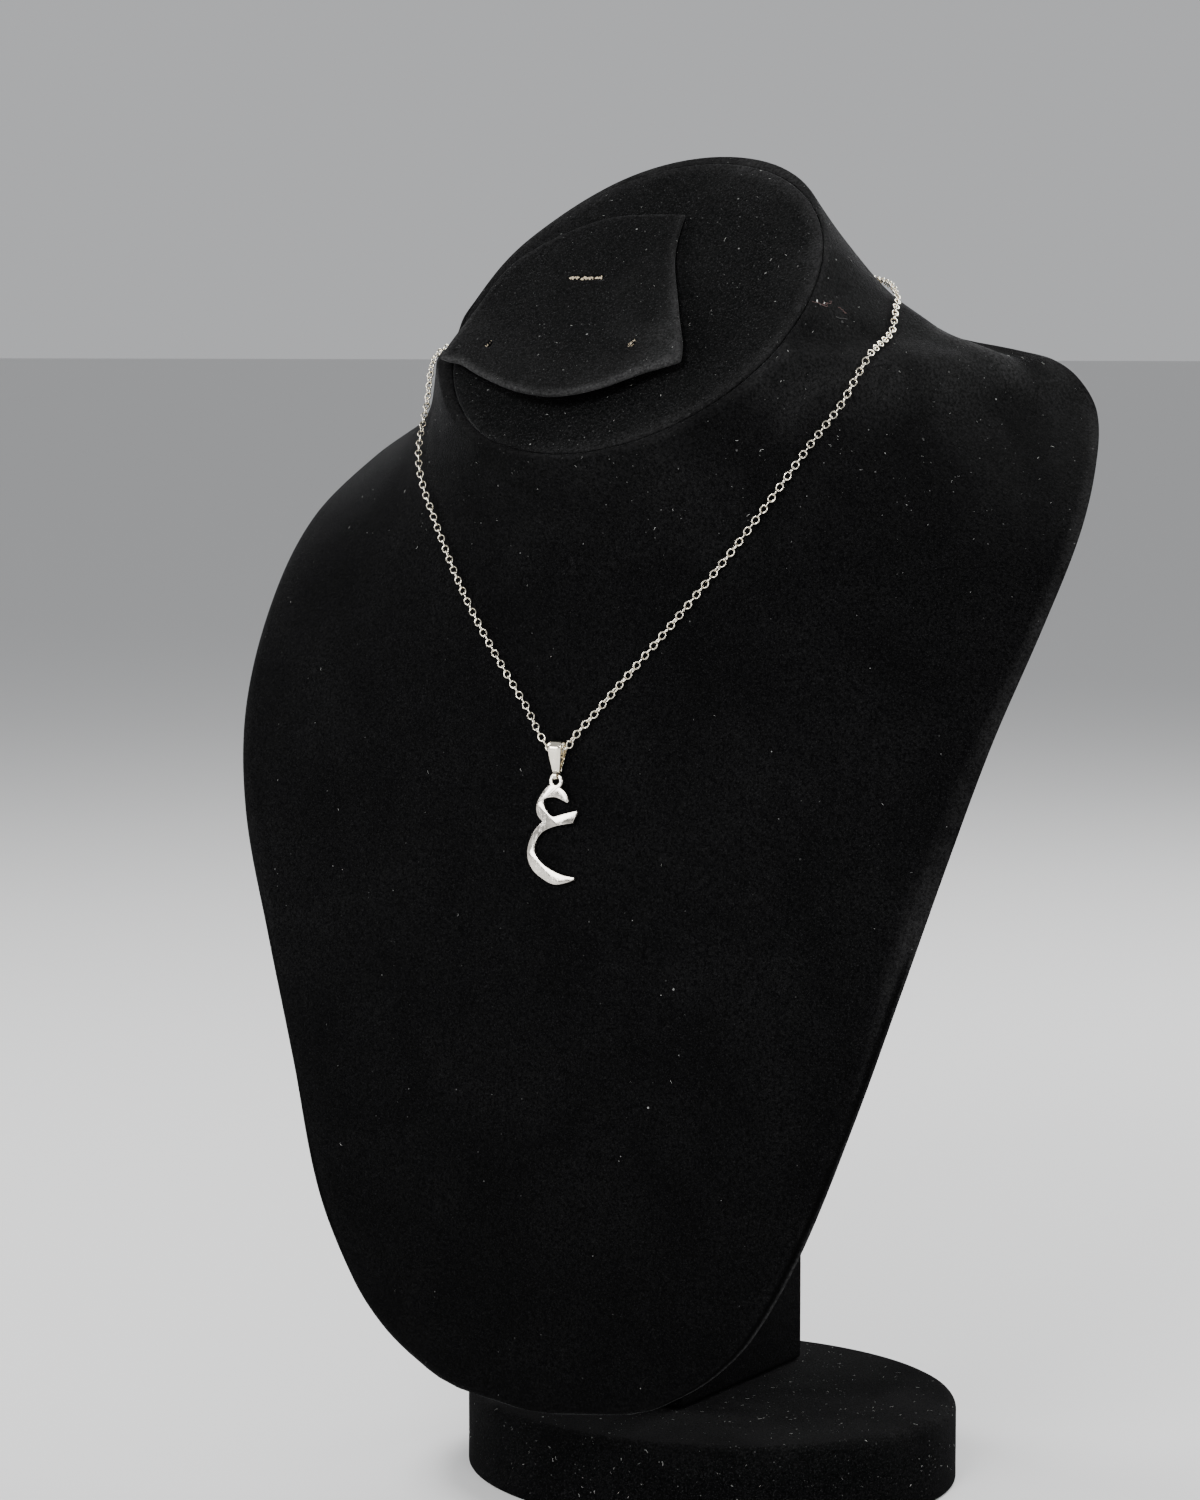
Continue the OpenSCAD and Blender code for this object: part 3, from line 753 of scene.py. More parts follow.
def paint_torso_light_and_dust(torso):
    """Stores the torso's painted light and shade and its dust, with darker velvet as painted shade
    in the shoulders' hollows.
    """
    p = points_of(torso)
    x, y, z = p.T
    right = x > 0
    share = np.clip(share_of(z), 0, 1)
    beside = np.abs(x) / (column(WIDE, share) * CHEST_W / 2)
    behind_rim = y - column(SIDE, share) * CHEST_REACH
    edge = ramp(beside, 0.985, 1.0) * ramp(z, 266, 252)
    lip = np.clip(1 - np.abs(above_top(p) + 0.3) / 1.2, 0, 1)
    back_of_lip = ramp(z, OVAL_Z, OVAL_Z + 20)
    shoulder = ramp(z, 255, 270) * ramp(x, 30, 50)
    collar, low = ramp(z, 225, 250), ramp(z, 140, 50)
    fold = stripe(on_the_right(p), SHOULDER_FOLD, 3.0)
    behind_fold = stripe(on_the_right(p), SHOULDER_HOLLOW, 6.0)
    # Painted highlight on the cloth rolled round the rim, and painted shade in a creased seam in it
    # low down
    outer = ramp(beside, 0.90, 0.96) * ramp(z, 264, 256)
    rolled = outer * ramp(behind_rim, -2.4, -1.5) * np.where(right, 0.8, 0.3)
    crease = outer * np.exp(-((behind_rim + 0.8) / 0.22) ** 2) * ramp(z, 145, 135)
    # How much painted highlight, above 0, or painted shade, below 0, each of these adds
    painted_light = edge * np.where(right, 0.10 + 0.8 * low, 0.03) + (0.12 + 0.35 * back_of_lip) * lip
    painted_light += 0.60 * fold + 0.22 * rolled + 0.22 * shoulder + 0.07 * collar
    # Painted shade behind the shoulder folds and in the seam, and darker towards the bottom
    painted_light -= 1.2 * behind_fold + 0.9 * crease + 0.4 * low
    store_painted_light_and_dust(torso, painted_light, 0.12 + 0.88 * np.maximum(collar, shoulder))
    # Faces behind the shoulder folds take the darker velvet, as painted shade
    torso.data.materials.append(shaded_velvet)
    for cover in torso.data.polygons:
        cover.material_index = int(min(behind_fold[i] for i in cover.vertices) > 0.45)


def lumps(places, sizes):
    """Small uneven crumbs, as points and faces."""
    shortest_longest, uneven = (0.6, 1.3), 0.15
    points, faces = [], []
    for at, size in zip(places, sizes):
        start = len(points)
        for axis in ((1, 0, 0), (-1, 0, 0), (0, 1, 0), (0, -1, 0), (0, 0, 1), (0, 0, -1)):
            reach = np.array(axis) * size * rng.uniform(*shortest_longest)
            points.append(np.array(at) + reach + rng.normal(0, uneven * size, 3))
        faces += [tuple(start + i for i in face) for face in (
            (0, 2, 4), (2, 1, 4), (1, 3, 4), (3, 0, 4), (2, 0, 5), (1, 2, 5), (3, 1, 5), (0, 3, 5))]
    return np.array(points), faces


def strand(path, radius):
    """A thin four-sided thread along a path, as points and faces."""
    path = np.array(path, float)
    along = unit(np.gradient(path, axis=0))
    slanted = [0.31, 0.27, 0.91]
    aside = unit(np.cross(along, slanted))
    other = np.cross(along, aside)
    points = np.concatenate([path + radius * aside, path + radius * other,
                             path - radius * aside, path - radius * other]).reshape(4, -1, 3)
    points = points.transpose(1, 0, 2).reshape(-1, 3)
    last = 4 * (len(path) - 1)
    faces = [(3, 2, 1, 0), (last, last + 1, last + 2, last + 3)]
    for i in range(0, last, 4):
        faces += [(i + k, i + (k + 1) % 4, i + 4 + (k + 1) % 4, i + 4 + k) for k in range(4)]
    return points, faces


# Turn, height and size of walk of the tangled threads, the first of them reddish
TANGLE = ((65.5, 287.3, 1.3), (66, 287.8, 1.1), (67, 286.8, 1.0), (68, 288.0, 1.2),
          (62.5, 284.6, 0.8), (62, 283.6, 0.7))
RED_THREADS = 4


def thread_tangle():
    """A few reddish and grey threads and two white crumbs, caught beside the board on the right."""
    made = []
    knots, step, radius = 9, 0.28, 0.045
    for k, (turn, height, walk) in enumerate(TANGLE):
        heading = rng.uniform(0, 2 * np.pi) + np.cumsum(rng.normal(0, 0.9, knots))
        ways = np.stack([np.cos(heading), 0.8 * np.sin(heading)], 1)
        steps = np.cumsum(step * walk * ways, axis=0)
        off = 0.25 + 0.45 * rng.uniform(0, 1, knots)
        path = on_skin(turn + steps[:, 0], height + steps[:, 1], off)
        points, faces = strand(spline(path, [False] * knots, 4, closed=False), radius)
        colour = red_thread if k < RED_THREADS else grey_thread
        made.append(piece("thread_%d" % k, points, faces, colour))
    at = on_skin(np.array([64.6, 65.4]), np.array([288.0, 287.5]), np.array([0.5, 0.5]))
    points, faces = lumps(at, (0.34, 0.26))
    made.append(piece("white_crumbs", points, faces, thread, smooth=False))
    return made


def rounded_oval(a, b, low, high, top_edge, low_edge, dome, steps=128):
    """Rings of an oval block with soft edges and a slightly domed top, from its underside up."""
    turn = around(steps)
    tall, flat_a, flat_b = high - low, a - top_edge, b - top_edge
    low_turn, top_turn = (np.linspace(0, math.pi / 2, n) for n in (5, 9))
    # Half sizes of each ring and its height over the underside
    rows = [(q * flat_a, q * flat_b, 0) for q in (0.15, 0.5, 0.85)]
    sides = [(low_edge * (1 - math.sin(t)), low_edge * (1 - math.cos(t))) for t in low_turn]
    sides += [(0, low_edge + (tall - low_edge - top_edge) * t) for t in (0.33, 0.66)]
    sides += [(top_edge * (1 - math.cos(t)), tall - top_edge * (1 - math.sin(t)))
              for t in top_turn]
    rows += [(a - back, b - back, z) for back, z in sides]
    rows += [(q * flat_a, q * flat_b, tall + dome * (1 - q * q))
             for q in (0.93, 0.85, 0.7, 0.5, 0.3, 0.12)]
    return closed_rings([raised(oval(x, y, turn), low + z) for x, y, z in rows])


def board_form():
    nap_height = 0.28
    points, faces = rounded_oval(OVAL_A + nap_height, OVAL_B + nap_height, -OVAL_T, 0.0,
                                 top_edge=0.6, low_edge=0.3, dome=0.25)
    board = piece("neck_top_board", on_neck_top(points), faces, board_velvet)
    tidy_mesh(board)
    p = points_of(board) - TOP_MID
    across, along = p[:, 0] / OVAL_A, p @ TOP_ALONG / OVAL_B
    edge = np.hypot(across, along)
    right = np.clip(0.5 + 0.6 * across + 0.4 * along, 0, 1)
    # Painted highlight along the board's rim and over its right side
    store_painted_light_and_dust(board, (0.10 + 0.22 * right) * ramp(edge, 0.975, 0.995)
          + 0.14 * right * ramp(edge, 0.70, 1.0))
    return board


def foot_form():
    points, faces = rounded_oval(FOOT_W / 2, FOOT_D / 2, 0.0, FOOT_T,
                                 top_edge=2.6, low_edge=0.8, dome=-0.15)
    waves, deepest, standing = 9, 0.10 / 60, 1.0
    wave = deepest * np.sin(np.arctan2(points[:, 1], points[:, 0]) * waves)
    points[:, 0] *= 1 - np.abs(wave) * (points[:, 2] > standing)
    foot = piece("foot_cover", points, faces, base_velvet)
    tidy_mesh(foot)
    height = points_of(foot)[:, 2]
    # Painted highlight along the foot's top edge
    store_painted_light_and_dust(foot, 0.12 * ramp(height, FOOT_T - 4, FOOT_T), 5.0 * (height > standing))
    return foot


HINGE = FLAP_FOOT + 0.9 * FLAP_L
FLAP_PITCH = math.asin((FLAP_LIFT - GAP) / (HINGE - FLAP_FOOT))


def on_flap(points):
    """Moves points of the flap's own plane onto the lifted flap, with the soft curl of its card."""
    p = np.array(points, float)
    reach = np.clip((HINGE - p[:, 1]) / (HINGE - FLAP_FOOT), 0, 1.2)
    left = np.clip((FLAP_X - p[:, 0]) / (FLAP_W / 2), -1, 1)
    middle_lift, corner_drop = 0.9, 3.6
    curl = middle_lift * reach ** 2 * (1 - left ** 2)
    z = p[:, 2] + curl - corner_drop * np.clip(left - 0.75, 0, 1) * reach
    y = p[:, 1] - HINGE
    level, rise = math.cos(FLAP_PITCH), math.sin(FLAP_PITCH)
    return on_neck_top(np.stack([p[:, 0], y * level + z * rise + HINGE,
                                 z * level - y * rise + GAP], 1))


def flap_form():
    outline = spline(FLAP * [FLAP_W, FLAP_L] + [FLAP_X, FLAP_FOOT],
                     [i in FLAP_CORNERS for i in range(len(FLAP))], 8)
    loops = [outline]
    ring, ragged = around(20), 0.18
    hole_x, hole_y = FLAP_X - 0.014 * FLAP_W, FLAP_FOOT + 0.163 * FLAP_L
    slot_x, slot_y = FLAP_X - 0.076 * FLAP_W, FLAP_FOOT + 0.549 * FLAP_L
    for side in (-1, 1):
        wobble = HOLE_D / 2 * (1 + ragged * np.sin(3 * ring + side))
        loops.append(oval(wobble, wobble, ring) + [hole_x + side * HOLE_GAP / 2, hole_y])
    across = np.linspace(-SLOT_W / 2, SLOT_W / 2, 24)
    half_slot = 0.40
    frayed = half_slot + 0.12 * np.sin(across * 7.1) + 0.07 * np.sin(across * 17.0)
    low = np.stack([slot_x + across, slot_y - frayed], 1)
    high = np.stack([slot_x + across[::-1], slot_y + frayed[::-1] * 0.9], 1)
    loops.append(np.vstack([low, high]))
    points, faces = slab(loops, FLAP_T, edge=0.7, spacing=1.5)
    flat = points.copy()
    points[:, 2] += FLAP_T / 2
    card = piece("earring_flap_card", on_flap(points), faces, flap_velvet)
    edge = loop_distance(flat[:, :2], outline)
    front_end, right_start = FLAP_FOOT + 0.42 * FLAP_L, FLAP_X + 0.25 * FLAP_W
    front = ramp(flat[:, 1], front_end, front_end - 12)
    right = ramp(flat[:, 0], right_start, right_start + 8)
    # Painted highlight along the card's edges, strongest at the front and on the right, and over
    # its right side
    store_painted_light_and_dust(card, np.exp(-(edge / 0.9) ** 2) * (0.32 + 0.60 * np.maximum(front, 0.5 * right))
          + (0.20 + 0.45 * right) * np.exp(-edge / 6) * np.maximum(front, right)
          + 0.12 * ramp(flat[:, 0], FLAP_X, FLAP_X + 0.4 * FLAP_W))
    tidy_mesh(card)
    return joined(card, [raw_crumbs(slot_x, slot_y, hole_x, hole_y)])


def raw_crumbs(slot_x, slot_y, hole_x, hole_y):
    """Torn pale fibres of the card, along the slot and beside the two earring holes."""
    across = np.linspace(-0.47, 0.47, 44) * SLOT_W
    across = across[(np.abs(across + 1.9) > 0.35) & (np.abs(across - 2.3) > 0.25)]
    count = len(across)
    places = np.column_stack([slot_x + across + rng.normal(0, 0.10, count),
                              slot_y + rng.normal(0, 0.22, count),
                              FLAP_T + rng.normal(-0.1, 0.10, count)])
    sizes = rng.uniform(0.14, 0.40, count)
    for side, count, reach, size in ((0.5, 18, 0.75, 0.15), (-0.5, 8, 0.50, 0.10)):
        near = rng.normal(0, 1, (count, 2)) * [0.5 * reach, reach]
        near += [hole_x + side * HOLE_GAP, hole_y]
        places = np.vstack([places, raised(near, FLAP_T)])
        sizes = np.concatenate([sizes, size * rng.uniform(0.5, 1.3, count)])
    points, faces = lumps(places, sizes)
    return piece("raw_crumbs", on_flap(points), faces, raw_card, smooth=False)


# --- Geometry Nodes: lint threads and the chain's links ------------------------------------------

SOCKET_KINDS = {int: "NodeSocketInt", float: "NodeSocketFloat",
                bpy.types.Material: "NodeSocketMaterial"}


def geometry_tree(name, values):
    """A tree with named inputs, its input sockets and the node of its result."""
    tree = bpy.data.node_groups.new(name, "GeometryNodeTree")
    face = tree.interface
    face.new_socket("Geometry", in_out="INPUT", socket_type="NodeSocketGeometry")
    for label, value in values.items():
        kind = SOCKET_KINDS[type(value)]
        face.new_socket(label, in_out="INPUT", socket_type=kind).default_value = value
    face.new_socket("Geometry", in_out="OUTPUT", socket_type="NodeSocketGeometry")
    return tree, tree.nodes.new("NodeGroupInput").outputs, tree.nodes.new("NodeGroupOutput")


def grown(obj, title, tree, values):
    """Runs a tree on an object with the named inputs, and turns the result into a plain mesh."""
    modifier = obj.modifiers.new(title, "NODES")
    modifier.node_group = tree
    for item in tree.interface.items_tree:
        if item.in_out == "INPUT" and item.name in values:
            modifier[item.identifier] = values[item.name]
    return baked(obj)


def stored(tree, label, kind):
    """An attribute of the mesh, by its name."""
    reader = node(tree, "GeometryNodeInputNamedAttribute", {"Name": label}, data_type=kind)
    return [s for s in reader.outputs if s.enabled and s.name == "Attribute"][0]


def circle(tree, resolution, radius):
    return node(tree, "GeometryNodeCurvePrimitiveCircle", {
        "Resolution": resolution, "Radius": radius}, mode="RADIUS").outputs["Curve"]


def turned_by(tree, rotation, angles):
    """A rotation that is turned further by angles about its own axes."""
    more = node(tree, "FunctionNodeEulerToRotation", {"Euler": angles}).outputs[0]
    return node(tree, "FunctionNodeRotateRotation", {
        "Rotation": rotation, "Rotate By": more}, rotation_space="LOCAL").outputs["Rotation"]


def copies(tree, points, shape, rotation, scale=(1, 1, 1)):
    """Real copies of a shape at points."""
    put = node(tree, "GeometryNodeInstanceOnPoints", {
        "Points": points, "Instance": shape, "Rotation": rotation, "Scale": scale}).outputs[0]
    return node(tree, "GeometryNodeRealizeInstances", {"Geometry": put}).outputs["Geometry"]


def dyed(tree, geometry, material):
    return node(tree, "GeometryNodeSetMaterial", {
        "Geometry": geometry, "Material": material}).outputs["Geometry"]


def add_threads(obj, name, density, length, seed):
    """Scatters short curved threads of lint over a velvet piece."""
    values = {"Density": density, "Length": length * MM, "Thickness": 0.035 * MM, "Seed": seed,
              "Thread": thread}
    tree, field, result = geometry_tree(name, values)
    caught = multiply(tree, stored(tree, "dust", "FLOAT"), field["Density"])
    scatter = node(tree, "GeometryNodeDistributePointsOnFaces", {
        "Mesh": field["Geometry"], "Density": caught, "Seed": field["Seed"]},
        distribute_method="RANDOM")
    arc = node(tree, "GeometryNodeCurveArc", {
        "Resolution": 7, "Radius": field["Length"], "Sweep Angle": 1.4}, mode="RADIUS")
    hair = node(tree, "GeometryNodeCurveToMesh", {
        "Curve": arc.outputs["Curve"], "Profile Curve": circle(tree, 4, field["Thickness"]),
        "Fill Caps": True})
    centred = node(tree, "GeometryNodeTransform", {
        "Geometry": hair.outputs["Mesh"],
        "Translation": (-0.8 * length * MM, -0.6 * length * MM, 0)})
    spin = node(tree, "FunctionNodeRandomValue", {
        "Min": (-0.25, -0.25, 0.0), "Max": (0.25, 0.25, 6.28), "Seed": field["Seed"]},
        data_type="FLOAT_VECTOR")
    turned = turned_by(tree, scatter.outputs["Rotation"], spin.outputs[0])
    # Sockets 2 and 3 are the smallest and largest single number, and 1 is the number drawn
    size = node(tree, "FunctionNodeRandomValue", {2: 0.25, 3: 1.0, "Seed": field["Seed"]},
                data_type="FLOAT")
    hairs = copies(tree, scatter.outputs["Points"], centred.outputs["Geometry"], turned,
                   size.outputs[1])
    both = node(tree, "GeometryNodeJoinGeometry", {0: field["Geometry"]})
    fed(both, {0: dyed(tree, hairs, field["Thread"])})
    fed(result, {0: both.outputs[0]})
    return grown(obj, name, tree, values)


# --- The chain -----------------------------------------------------------------------------------

LINK_LONG, LINK_WIDE, WIRE = 2.26, 1.84, 0.36
STAND_OFF = LINK_W / 2 + CHAIN_GAP


def chain_route():
    """Points along the chain's middle and the directions away from the velvet, end to end."""
    route = np.array(ROUTE, float)
    nape = np.array(NAPE_ROUTE, float)
    across = np.minimum(1, route[:, 0] / (column(WIDE, share_of(route[:, 1])) * CHEST_W / 2))
    turn = np.concatenate([np.degrees(np.arcsin(across)), nape[:, 0]])
    height = np.concatenate([route[:, 1], nape[:, 1]])
    drop_y = float(skin(0, share_of(DROP_Z))[1]) - LOOP_R - STRIP_T - GAP
    end_turn, end_z = nape[-1]
    clasp_y = float(skin(180, share_of(end_z))[1]) + CLASP_D / 2 + GAP
    end_off = (clasp_y - skin(end_turn, share_of(end_z))[1]) / outward(end_turn, share_of(end_z))[1]
    # Over its last four points the chain comes to the height of the clasp's middle
    last = ramp(np.arange(len(turn)), len(turn) - 5, len(turn) - 1)
    off = STAND_OFF + last * (end_off - STAND_OFF)
    half = on_skin(turn, height, off)
    away = outward(turn, share_of(height))
    level, rise = BAIL_W / 2 + 0.7, 2.6
    start = np.array([[0, drop_y, DROP_Z], [level, drop_y, DROP_Z],
                      [level + rise, drop_y, DROP_Z + rise + level / 4]])
    half = np.vstack([start, half])
    away = np.vstack([[[0, -1, 0]] * 3, away])
    mirror = np.array([-1, 1, 1])
    return np.vstack([half[:0:-1] * mirror, half]), np.vstack([away[:0:-1] * mirror, away])


# Way that the links of the hanging chain face, once they have settled on their sides
SETTLED = np.array([0.527, -0.844, 0.10])


def chain_links(points, away):
    """Interlocked oval links along the route, each turned a quarter from the last."""
    smooth, aside = (spline(line, [False] * len(line), 24, closed=False)
                     for line in (points, away))
    run = np.concatenate([[0], np.cumsum(np.linalg.norm(np.diff(smooth, axis=0), axis=1))])
    count = int(run[-1] / (LINK_LONG - 2 * WIRE))
    at = (np.arange(count) + 0.5) / count * run[-1]
    near = 0.4
    place, ahead, back, out = (
        np.stack([np.interp(where, run, line[:, k]) for k in range(3)], 1)
        for where, line in ((at, smooth), (at + near, smooth), (at - near, smooth), (at, aside)))
    # Round the neck the links lie on the velvet, and below it they settle on their sides
    left_half = 0.92 * ramp(-place[:, 1:2], 15, 45)
    right_half = (0.45 + 0.40 * ramp(place[:, 2:], 240, 260)) * ramp(place[:, 1:2], 20, -10)
    settled = np.where(place[:, :1] < -2, left_half, right_half)
    out = out * (1 - settled) + SETTLED * settled
    twist = (np.arange(count) % 2) * math.pi / 2 + rng.normal(0, 0.10, count)
    beads = bpy.data.meshes.new("chain_places")
    beads.from_pydata([tuple(p * MM) for p in place], [], [])
    named = (("along", "FLOAT_VECTOR", "vector", ahead - back),
             ("away", "FLOAT_VECTOR", "vector", out), ("twist", "FLOAT", "value", twist))
    for label, kind, field, values in named:
        beads.attributes.new(label, kind, "POINT").data.foreach_set(
            field, values.astype(np.float32).ravel())

    values = {"Link Length": LINK_LONG * MM, "Link Width": LINK_WIDE * MM, "Wire": WIRE * MM,
              "Finish": chain_steel}
    tree, field, result = geometry_tree("cable_chain", values)
    half_long, half_wide = (
        multiply(tree, maths(tree, "SUBTRACT", field[label], field["Wire"]), 0.5)
        for label in ("Link Length", "Link Width"))
    stretch = node(tree, "ShaderNodeCombineXYZ", {"X": half_long, "Y": half_wide, "Z": 1.0})
    oval = node(tree, "GeometryNodeTransform", {
        "Geometry": circle(tree, 14, 1.0), "Scale": stretch.outputs[0]})
    link = node(tree, "GeometryNodeCurveToMesh", {
        "Curve": oval.outputs["Geometry"],
        "Profile Curve": circle(tree, 6, multiply(tree, field["Wire"], 0.5))})
    along, facing, turn = (stored(tree, label, kind) for label, kind, _, _ in named)
    lie = node(tree, "FunctionNodeAlignRotationToVector", {"Vector": along}, axis="X")
    face_out = node(tree, "FunctionNodeAlignRotationToVector", {
        "Rotation": lie.outputs[0], "Vector": facing}, axis="Z", pivot_axis="X")
    quarter = node(tree, "ShaderNodeCombineXYZ", {"X": turn})
    turned = turned_by(tree, face_out.outputs[0], quarter.outputs[0])
    links = copies(tree, field["Geometry"], link.outputs["Mesh"], turned)
    soft = node(tree, "GeometryNodeSetShadeSmooth", {"Geometry": links})
    fed(result, {0: dyed(tree, soft.outputs["Geometry"], field["Finish"])})
    return grown(placed("chain_links", beads), "Cable chain", tree, values)


def turned_rings(profile, place, steps=32):
    """Closed rings of a turned piece along X from its profile of places along and radii."""
    turn = around(steps)
    rings = [np.column_stack([np.full(steps, x), r * np.cos(turn), r * np.sin(turn)])
             for x, r in profile]
    points, faces = closed_rings(rings)
    return points + place, faces


def clasp_form(left, right):
    """A plain barrel between the chain's ends, with a neck and an end ring on each side."""
    middle, span = (left + right) / 2, abs(right[0] - left[0]) / 2 - GAP / 2
    half, r, core = min(CLASP_L / 2, span - 0.8), CLASP_D / 2, LINK_W / 2
    end_ring = [(-span + x, core * q) for x, q in ((0, 0.5), (0.25, 0.85), (0.7, 0.8), (1.2, 0.45))]
    neck = [(-half - 0.7, 0.45 * core), (-half - 0.35, 0.7 * core)]
    barrel = [(-half + x, r * q) for x, q in ((0, 0.72), (0.25, 0.9), (0.7, 1.0))]
    profile = end_ring + neck + barrel + [(-0.25, r), (-0.15, 0.93 * r)]
    profile += [(-x, q) for x, q in profile[::-1]]
    points, faces = turned_rings(profile, middle)
    clasp = piece("clasp_barrel", points, faces, chain_steel)
    tidy_mesh(clasp)
    return clasp


# --- The pendant ---------------------------------------------------------------------------------

def hung(points, drop):
    """Moves points of the hanging pendant's own frame to its place, leaning foot forwards."""
    p = np.asarray(points, float)
    lean = -math.radians(LEAN)
    y = p[:, 1] * math.cos(lean) - p[:, 2] * math.sin(lean)
    z = p[:, 1] * math.sin(lean) + p[:, 2] * math.cos(lean)
    return np.stack([p[:, 0], y, z], 1) + drop


def bail_form(drop):
    """The folded strip round the chain, pinched towards its foot, and the ring in the eye."""
    middle_r, pinched = LOOP_R + STRIP_T / 2, 0.40
    foot = BAIL_DROP - RING_IN
    arc = [(middle_r * math.cos(t), middle_r * math.sin(t)) for t in np.linspace(0, math.pi, 25)]
    sides = [(middle_r + (pinched - middle_r) * t, -foot * t) for t in np.linspace(0, 1, 15)]
    path = sides[::-1][:-1] + arc + [(-y, z) for y, z in sides][1:]
    path = np.array(path)
    columns = np.linspace(-1, 1, 9)
    along = unit(np.gradient(path, axis=0))
    normal = np.stack([along[:, 1], -along[:, 0]], 1)
    thick = STRIP_T / 2 * np.sqrt(np.maximum(1 - np.abs(columns) ** 10, 0.12))
    crown_height, dent_depth, dent_low = 0.10, 0.16, 0.88
    rings = []
    for (y, z), (ny, nz) in zip(path, normal):
        low = np.clip(-z / foot, 0, 1)
        width = BAIL_W / 2 + (BAIL_LOW_W / 2 - BAIL_W / 2) * low ** 1.15
        crown = crown_height * (1 - columns ** 2) * np.clip(low * 4, 0, 1)
        dent = dent_depth * np.exp(-((columns - 0.1) / 0.3) ** 2 - ((low - dent_low) / 0.07) ** 2)
        top, under = (np.column_stack([columns * width, y + ny * off, z + nz * off])
                      for off in (thick + crown - dent, crown - dent - thick))
        rings.append(np.concatenate([top, under[::-1]]))
    points, faces = closed_rings(rings)
    ring_middle = (RING_IN + RING_OUT) / 2
    section = [(TAB_W / 2 * x, (RING_OUT - RING_IN) / 2 * r) for x, r in (
        (-1, -0.5), (-0.85, -1), (0.85, -1), (1, -0.5), (1, 0.5), (0.85, 1), (-0.85, 1), (-1, 0.5))]
    loops = np.array([[(x, (ring_middle + r) * math.cos(t),
                        (ring_middle + r) * math.sin(t) - BAIL_DROP)
                       for x, r in section] for t in around(40)])
    loops = np.concatenate([loops, loops[:1]])
    start = len(points)
    faces += grid_faces(len(loops), len(section), start=start)
    points = np.vstack([points, loops.reshape(-1, 3)])
    bail = piece("bail_strip", hung(points, drop), faces, bail_steel)
    tidy_mesh(bail)
    bail.data.shade_smooth()
    soften_by_angle(bail, 40)
    return bail


def soften_by_angle(obj, degrees):
    """Marks edges sharper than an angle, so that only gentle turns are shaded smooth."""
    limit = math.radians(degrees)
    with edited(obj.data) as bm:
        for edge in bm.edges:
            edge.smooth = len(edge.link_faces) == 2 and edge.calc_face_angle(0) < limit


# --- Camera, light and floor ---------------------------------------------------------------------

# The camera that was fitted to the photo: place, way ahead, lens and height of the sensor
CAMERA_PLACE, CAMERA_AHEAD = (0.50291, -0.85714, 0.27846), (-0.52715, 0.84395, -0.09932)
LENS, SENSOR_H = 97.68, 36.0

# Name, place, width and power of each lamp, all of them turned to the middle of the bust
LAMPS = (
    ("top_back_light", (0.10, 0.85, 1.15), 0.9, 24.0),
    ("left_light", (-1.1, -0.25, 0.75), 0.7, 11.0),
    ("front_light", (0.25, -1.35, 0.95), 0.6, 22.0),
    ("low_left_light", (-0.58, -0.96, 0.25), 0.30, 2.6),
    ("low_right_light", (1.02, -0.62, 0.16), 0.4, 4.5),
    ("right_back_light", (0.95, 1.05, 0.42), 0.8, 9.0))
LAMP_TARGET = (0, -0.03, 0.17)
FLOOR_REACH = 60.0


def looking(ahead):
    """The turn of a camera or lamp that looks ahead, with its upper side up."""
    return Vector(ahead).to_track_quat("-Z", "Y")


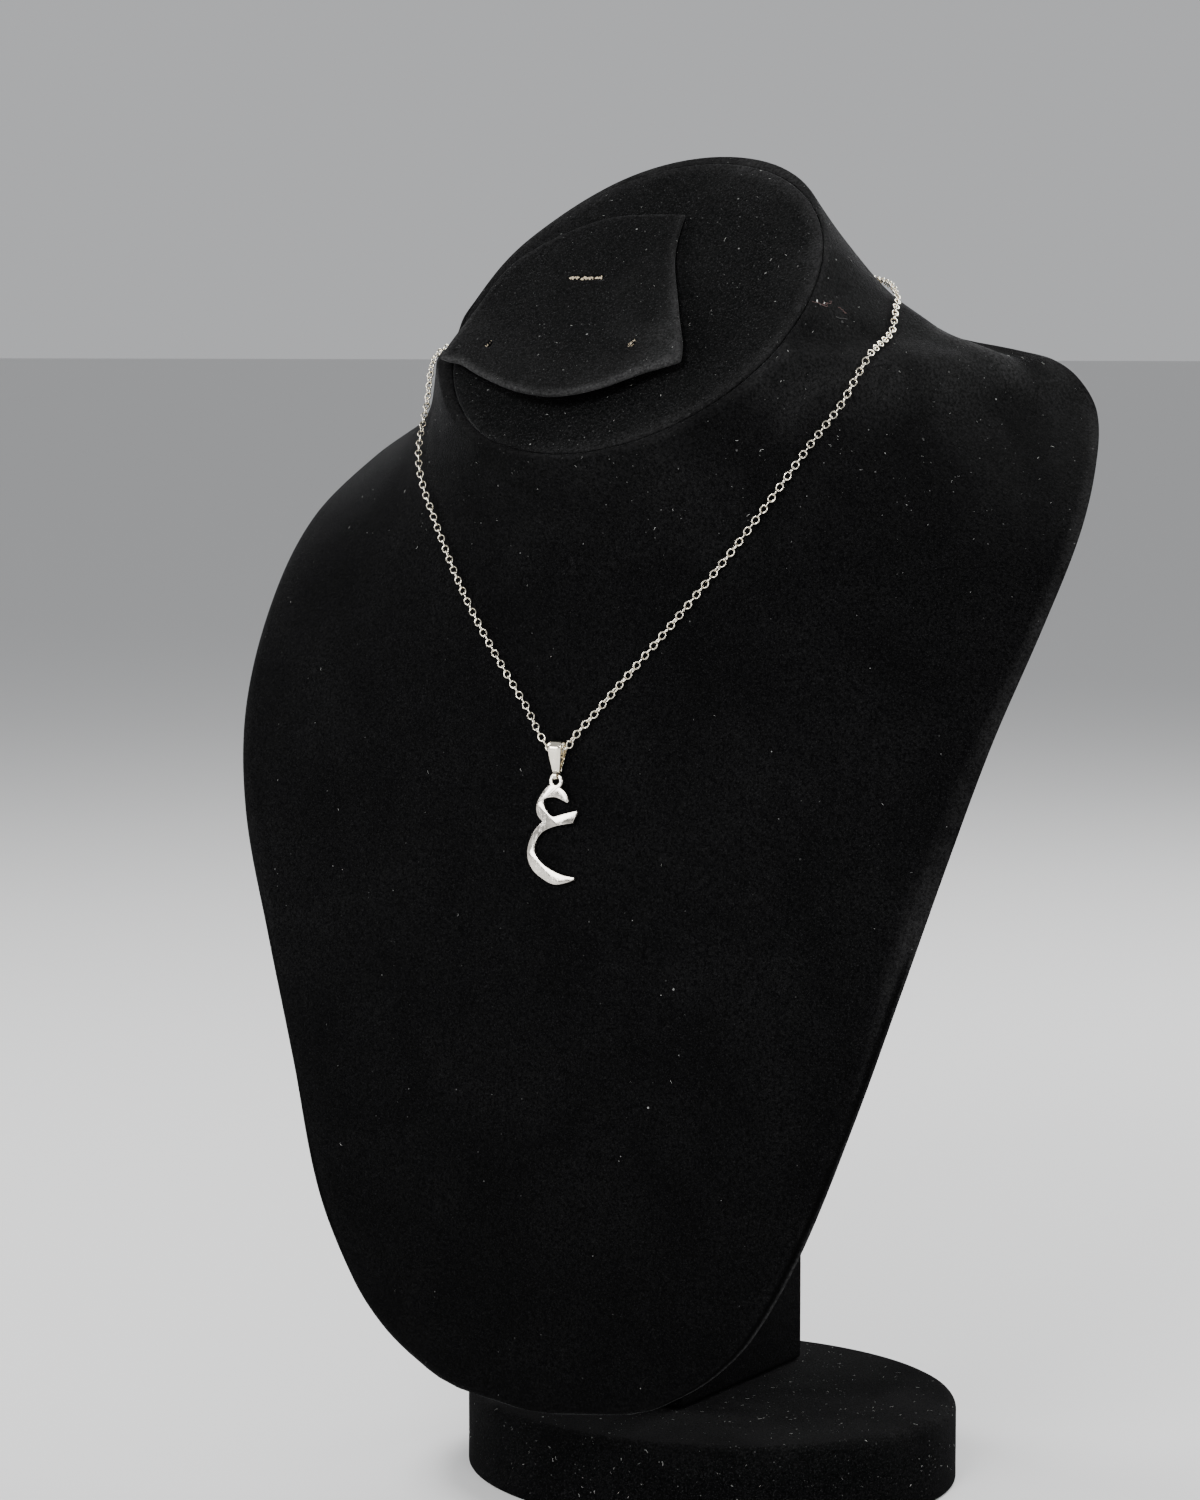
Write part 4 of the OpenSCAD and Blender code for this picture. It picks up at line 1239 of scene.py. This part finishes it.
def studio():
    lens = bpy.data.cameras.new("camera")
    lens.sensor_fit = "VERTICAL"
    lens.sensor_height = SENSOR_H
    lens.lens = LENS
    lens.clip_start = 0.01
    camera = placed("camera", lens)
    turn = looking(CAMERA_AHEAD).to_matrix().to_4x4()
    camera.matrix_world = Matrix.Translation(CAMERA_PLACE) @ turn
    bpy.context.scene.camera = camera

    # A pale room that is dimmer on the side of the camera
    world = bpy.data.worlds.new("soft_room")
    world.use_nodes = True
    sky = world.node_tree
    ways = node(sky, "ShaderNodeSeparateXYZ", {
        "Vector": node(sky, "ShaderNodeTexCoord").outputs["Generated"]})
    fed(sky.nodes["Background"], {
        "Color": (0.80, 0.81, 0.83, 1),
        "Strength": spread(sky, ways.outputs["Y"], -0.45, 0.25, 0.55, 0.62)})
    bpy.context.scene.world = world

    for name, place, size, power in LAMPS:
        light = bpy.data.lights.new(name, "AREA")
        light.shape = "DISK"
        light.size = size
        light.energy = power
        lamp = placed(name, light)
        lamp.location = place
        lamp.rotation_euler = looking(Vector(LAMP_TARGET) - Vector(place)).to_euler()

    mesh = bpy.data.meshes.new("floor")
    r = FLOOR_REACH
    mesh.from_pydata([(-r, -r, 0), (r, -r, 0), (r, r, 0), (-r, r, 0)], [], [(0, 1, 2, 3)])
    mesh.materials.append(plain("pale_floor", (0.67, 0.67, 0.67), 0.6))
    placed("floor", mesh)


studio()

torso, board, flap, foot = torso_form(), board_form(), flap_form(), foot_form()
# Piece, name, threads in a square metre, their length in millimetres and the seed
for covered, title, density, length, seed in (
        (torso, "lint_on_chest", 9000.0, 0.7, 3),
        (board, "lint_on_board", 9000.0, 0.6, 5),
        (flap, "lint_on_flap", 9000.0, 0.5, 8),
        (foot, "lint_on_foot", 4500.0, 0.8, 11)):
    add_threads(covered, title, density, length, seed)
post = softened_copy("post", "post_cover", width=1.4, segments=4, material=base_velvet)
store_painted_light_and_dust(post, 0.0)

route, away = chain_route()
chain = chain_links(route, away)
clasp = clasp_form(route[0], route[-1])
bail = bail_form(route[len(route) // 2])
letter = softened_copy("letter", "letter_plate", width=0.20, segments=4,
                       material=letter_steel, angle=35)
# The letter's cut walls are rougher than its polished face and back, and their lighter tint is a
# painted highlight
WALL_LIMIT = 0.8
letter.data.materials.append(edge_steel)
for wall in letter.data.polygons:
    if abs(wall.normal.y) < WALL_LIMIT:
        wall.material_index = 1

for made, node_name, body, slot in (
        (torso, "torso", "bust", "black_velvet"),
        (board, "neck_top", "bust", "black_velvet"),
        (flap, "earring_flap", "bust", "black_velvet"),
        (post, "post", "bust", "black_velvet"),
        (foot, "foot", "bust", "black_velvet"),
        (chain, "chain", "bust", "polished_steel"),
        (clasp, "clasp", "bust", "polished_steel"),
        (bail, "bail", "pendant", "polished_steel"),
        (letter, "letter", "pendant", "polished_steel")):
    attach(made, body)
    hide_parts(node_name)
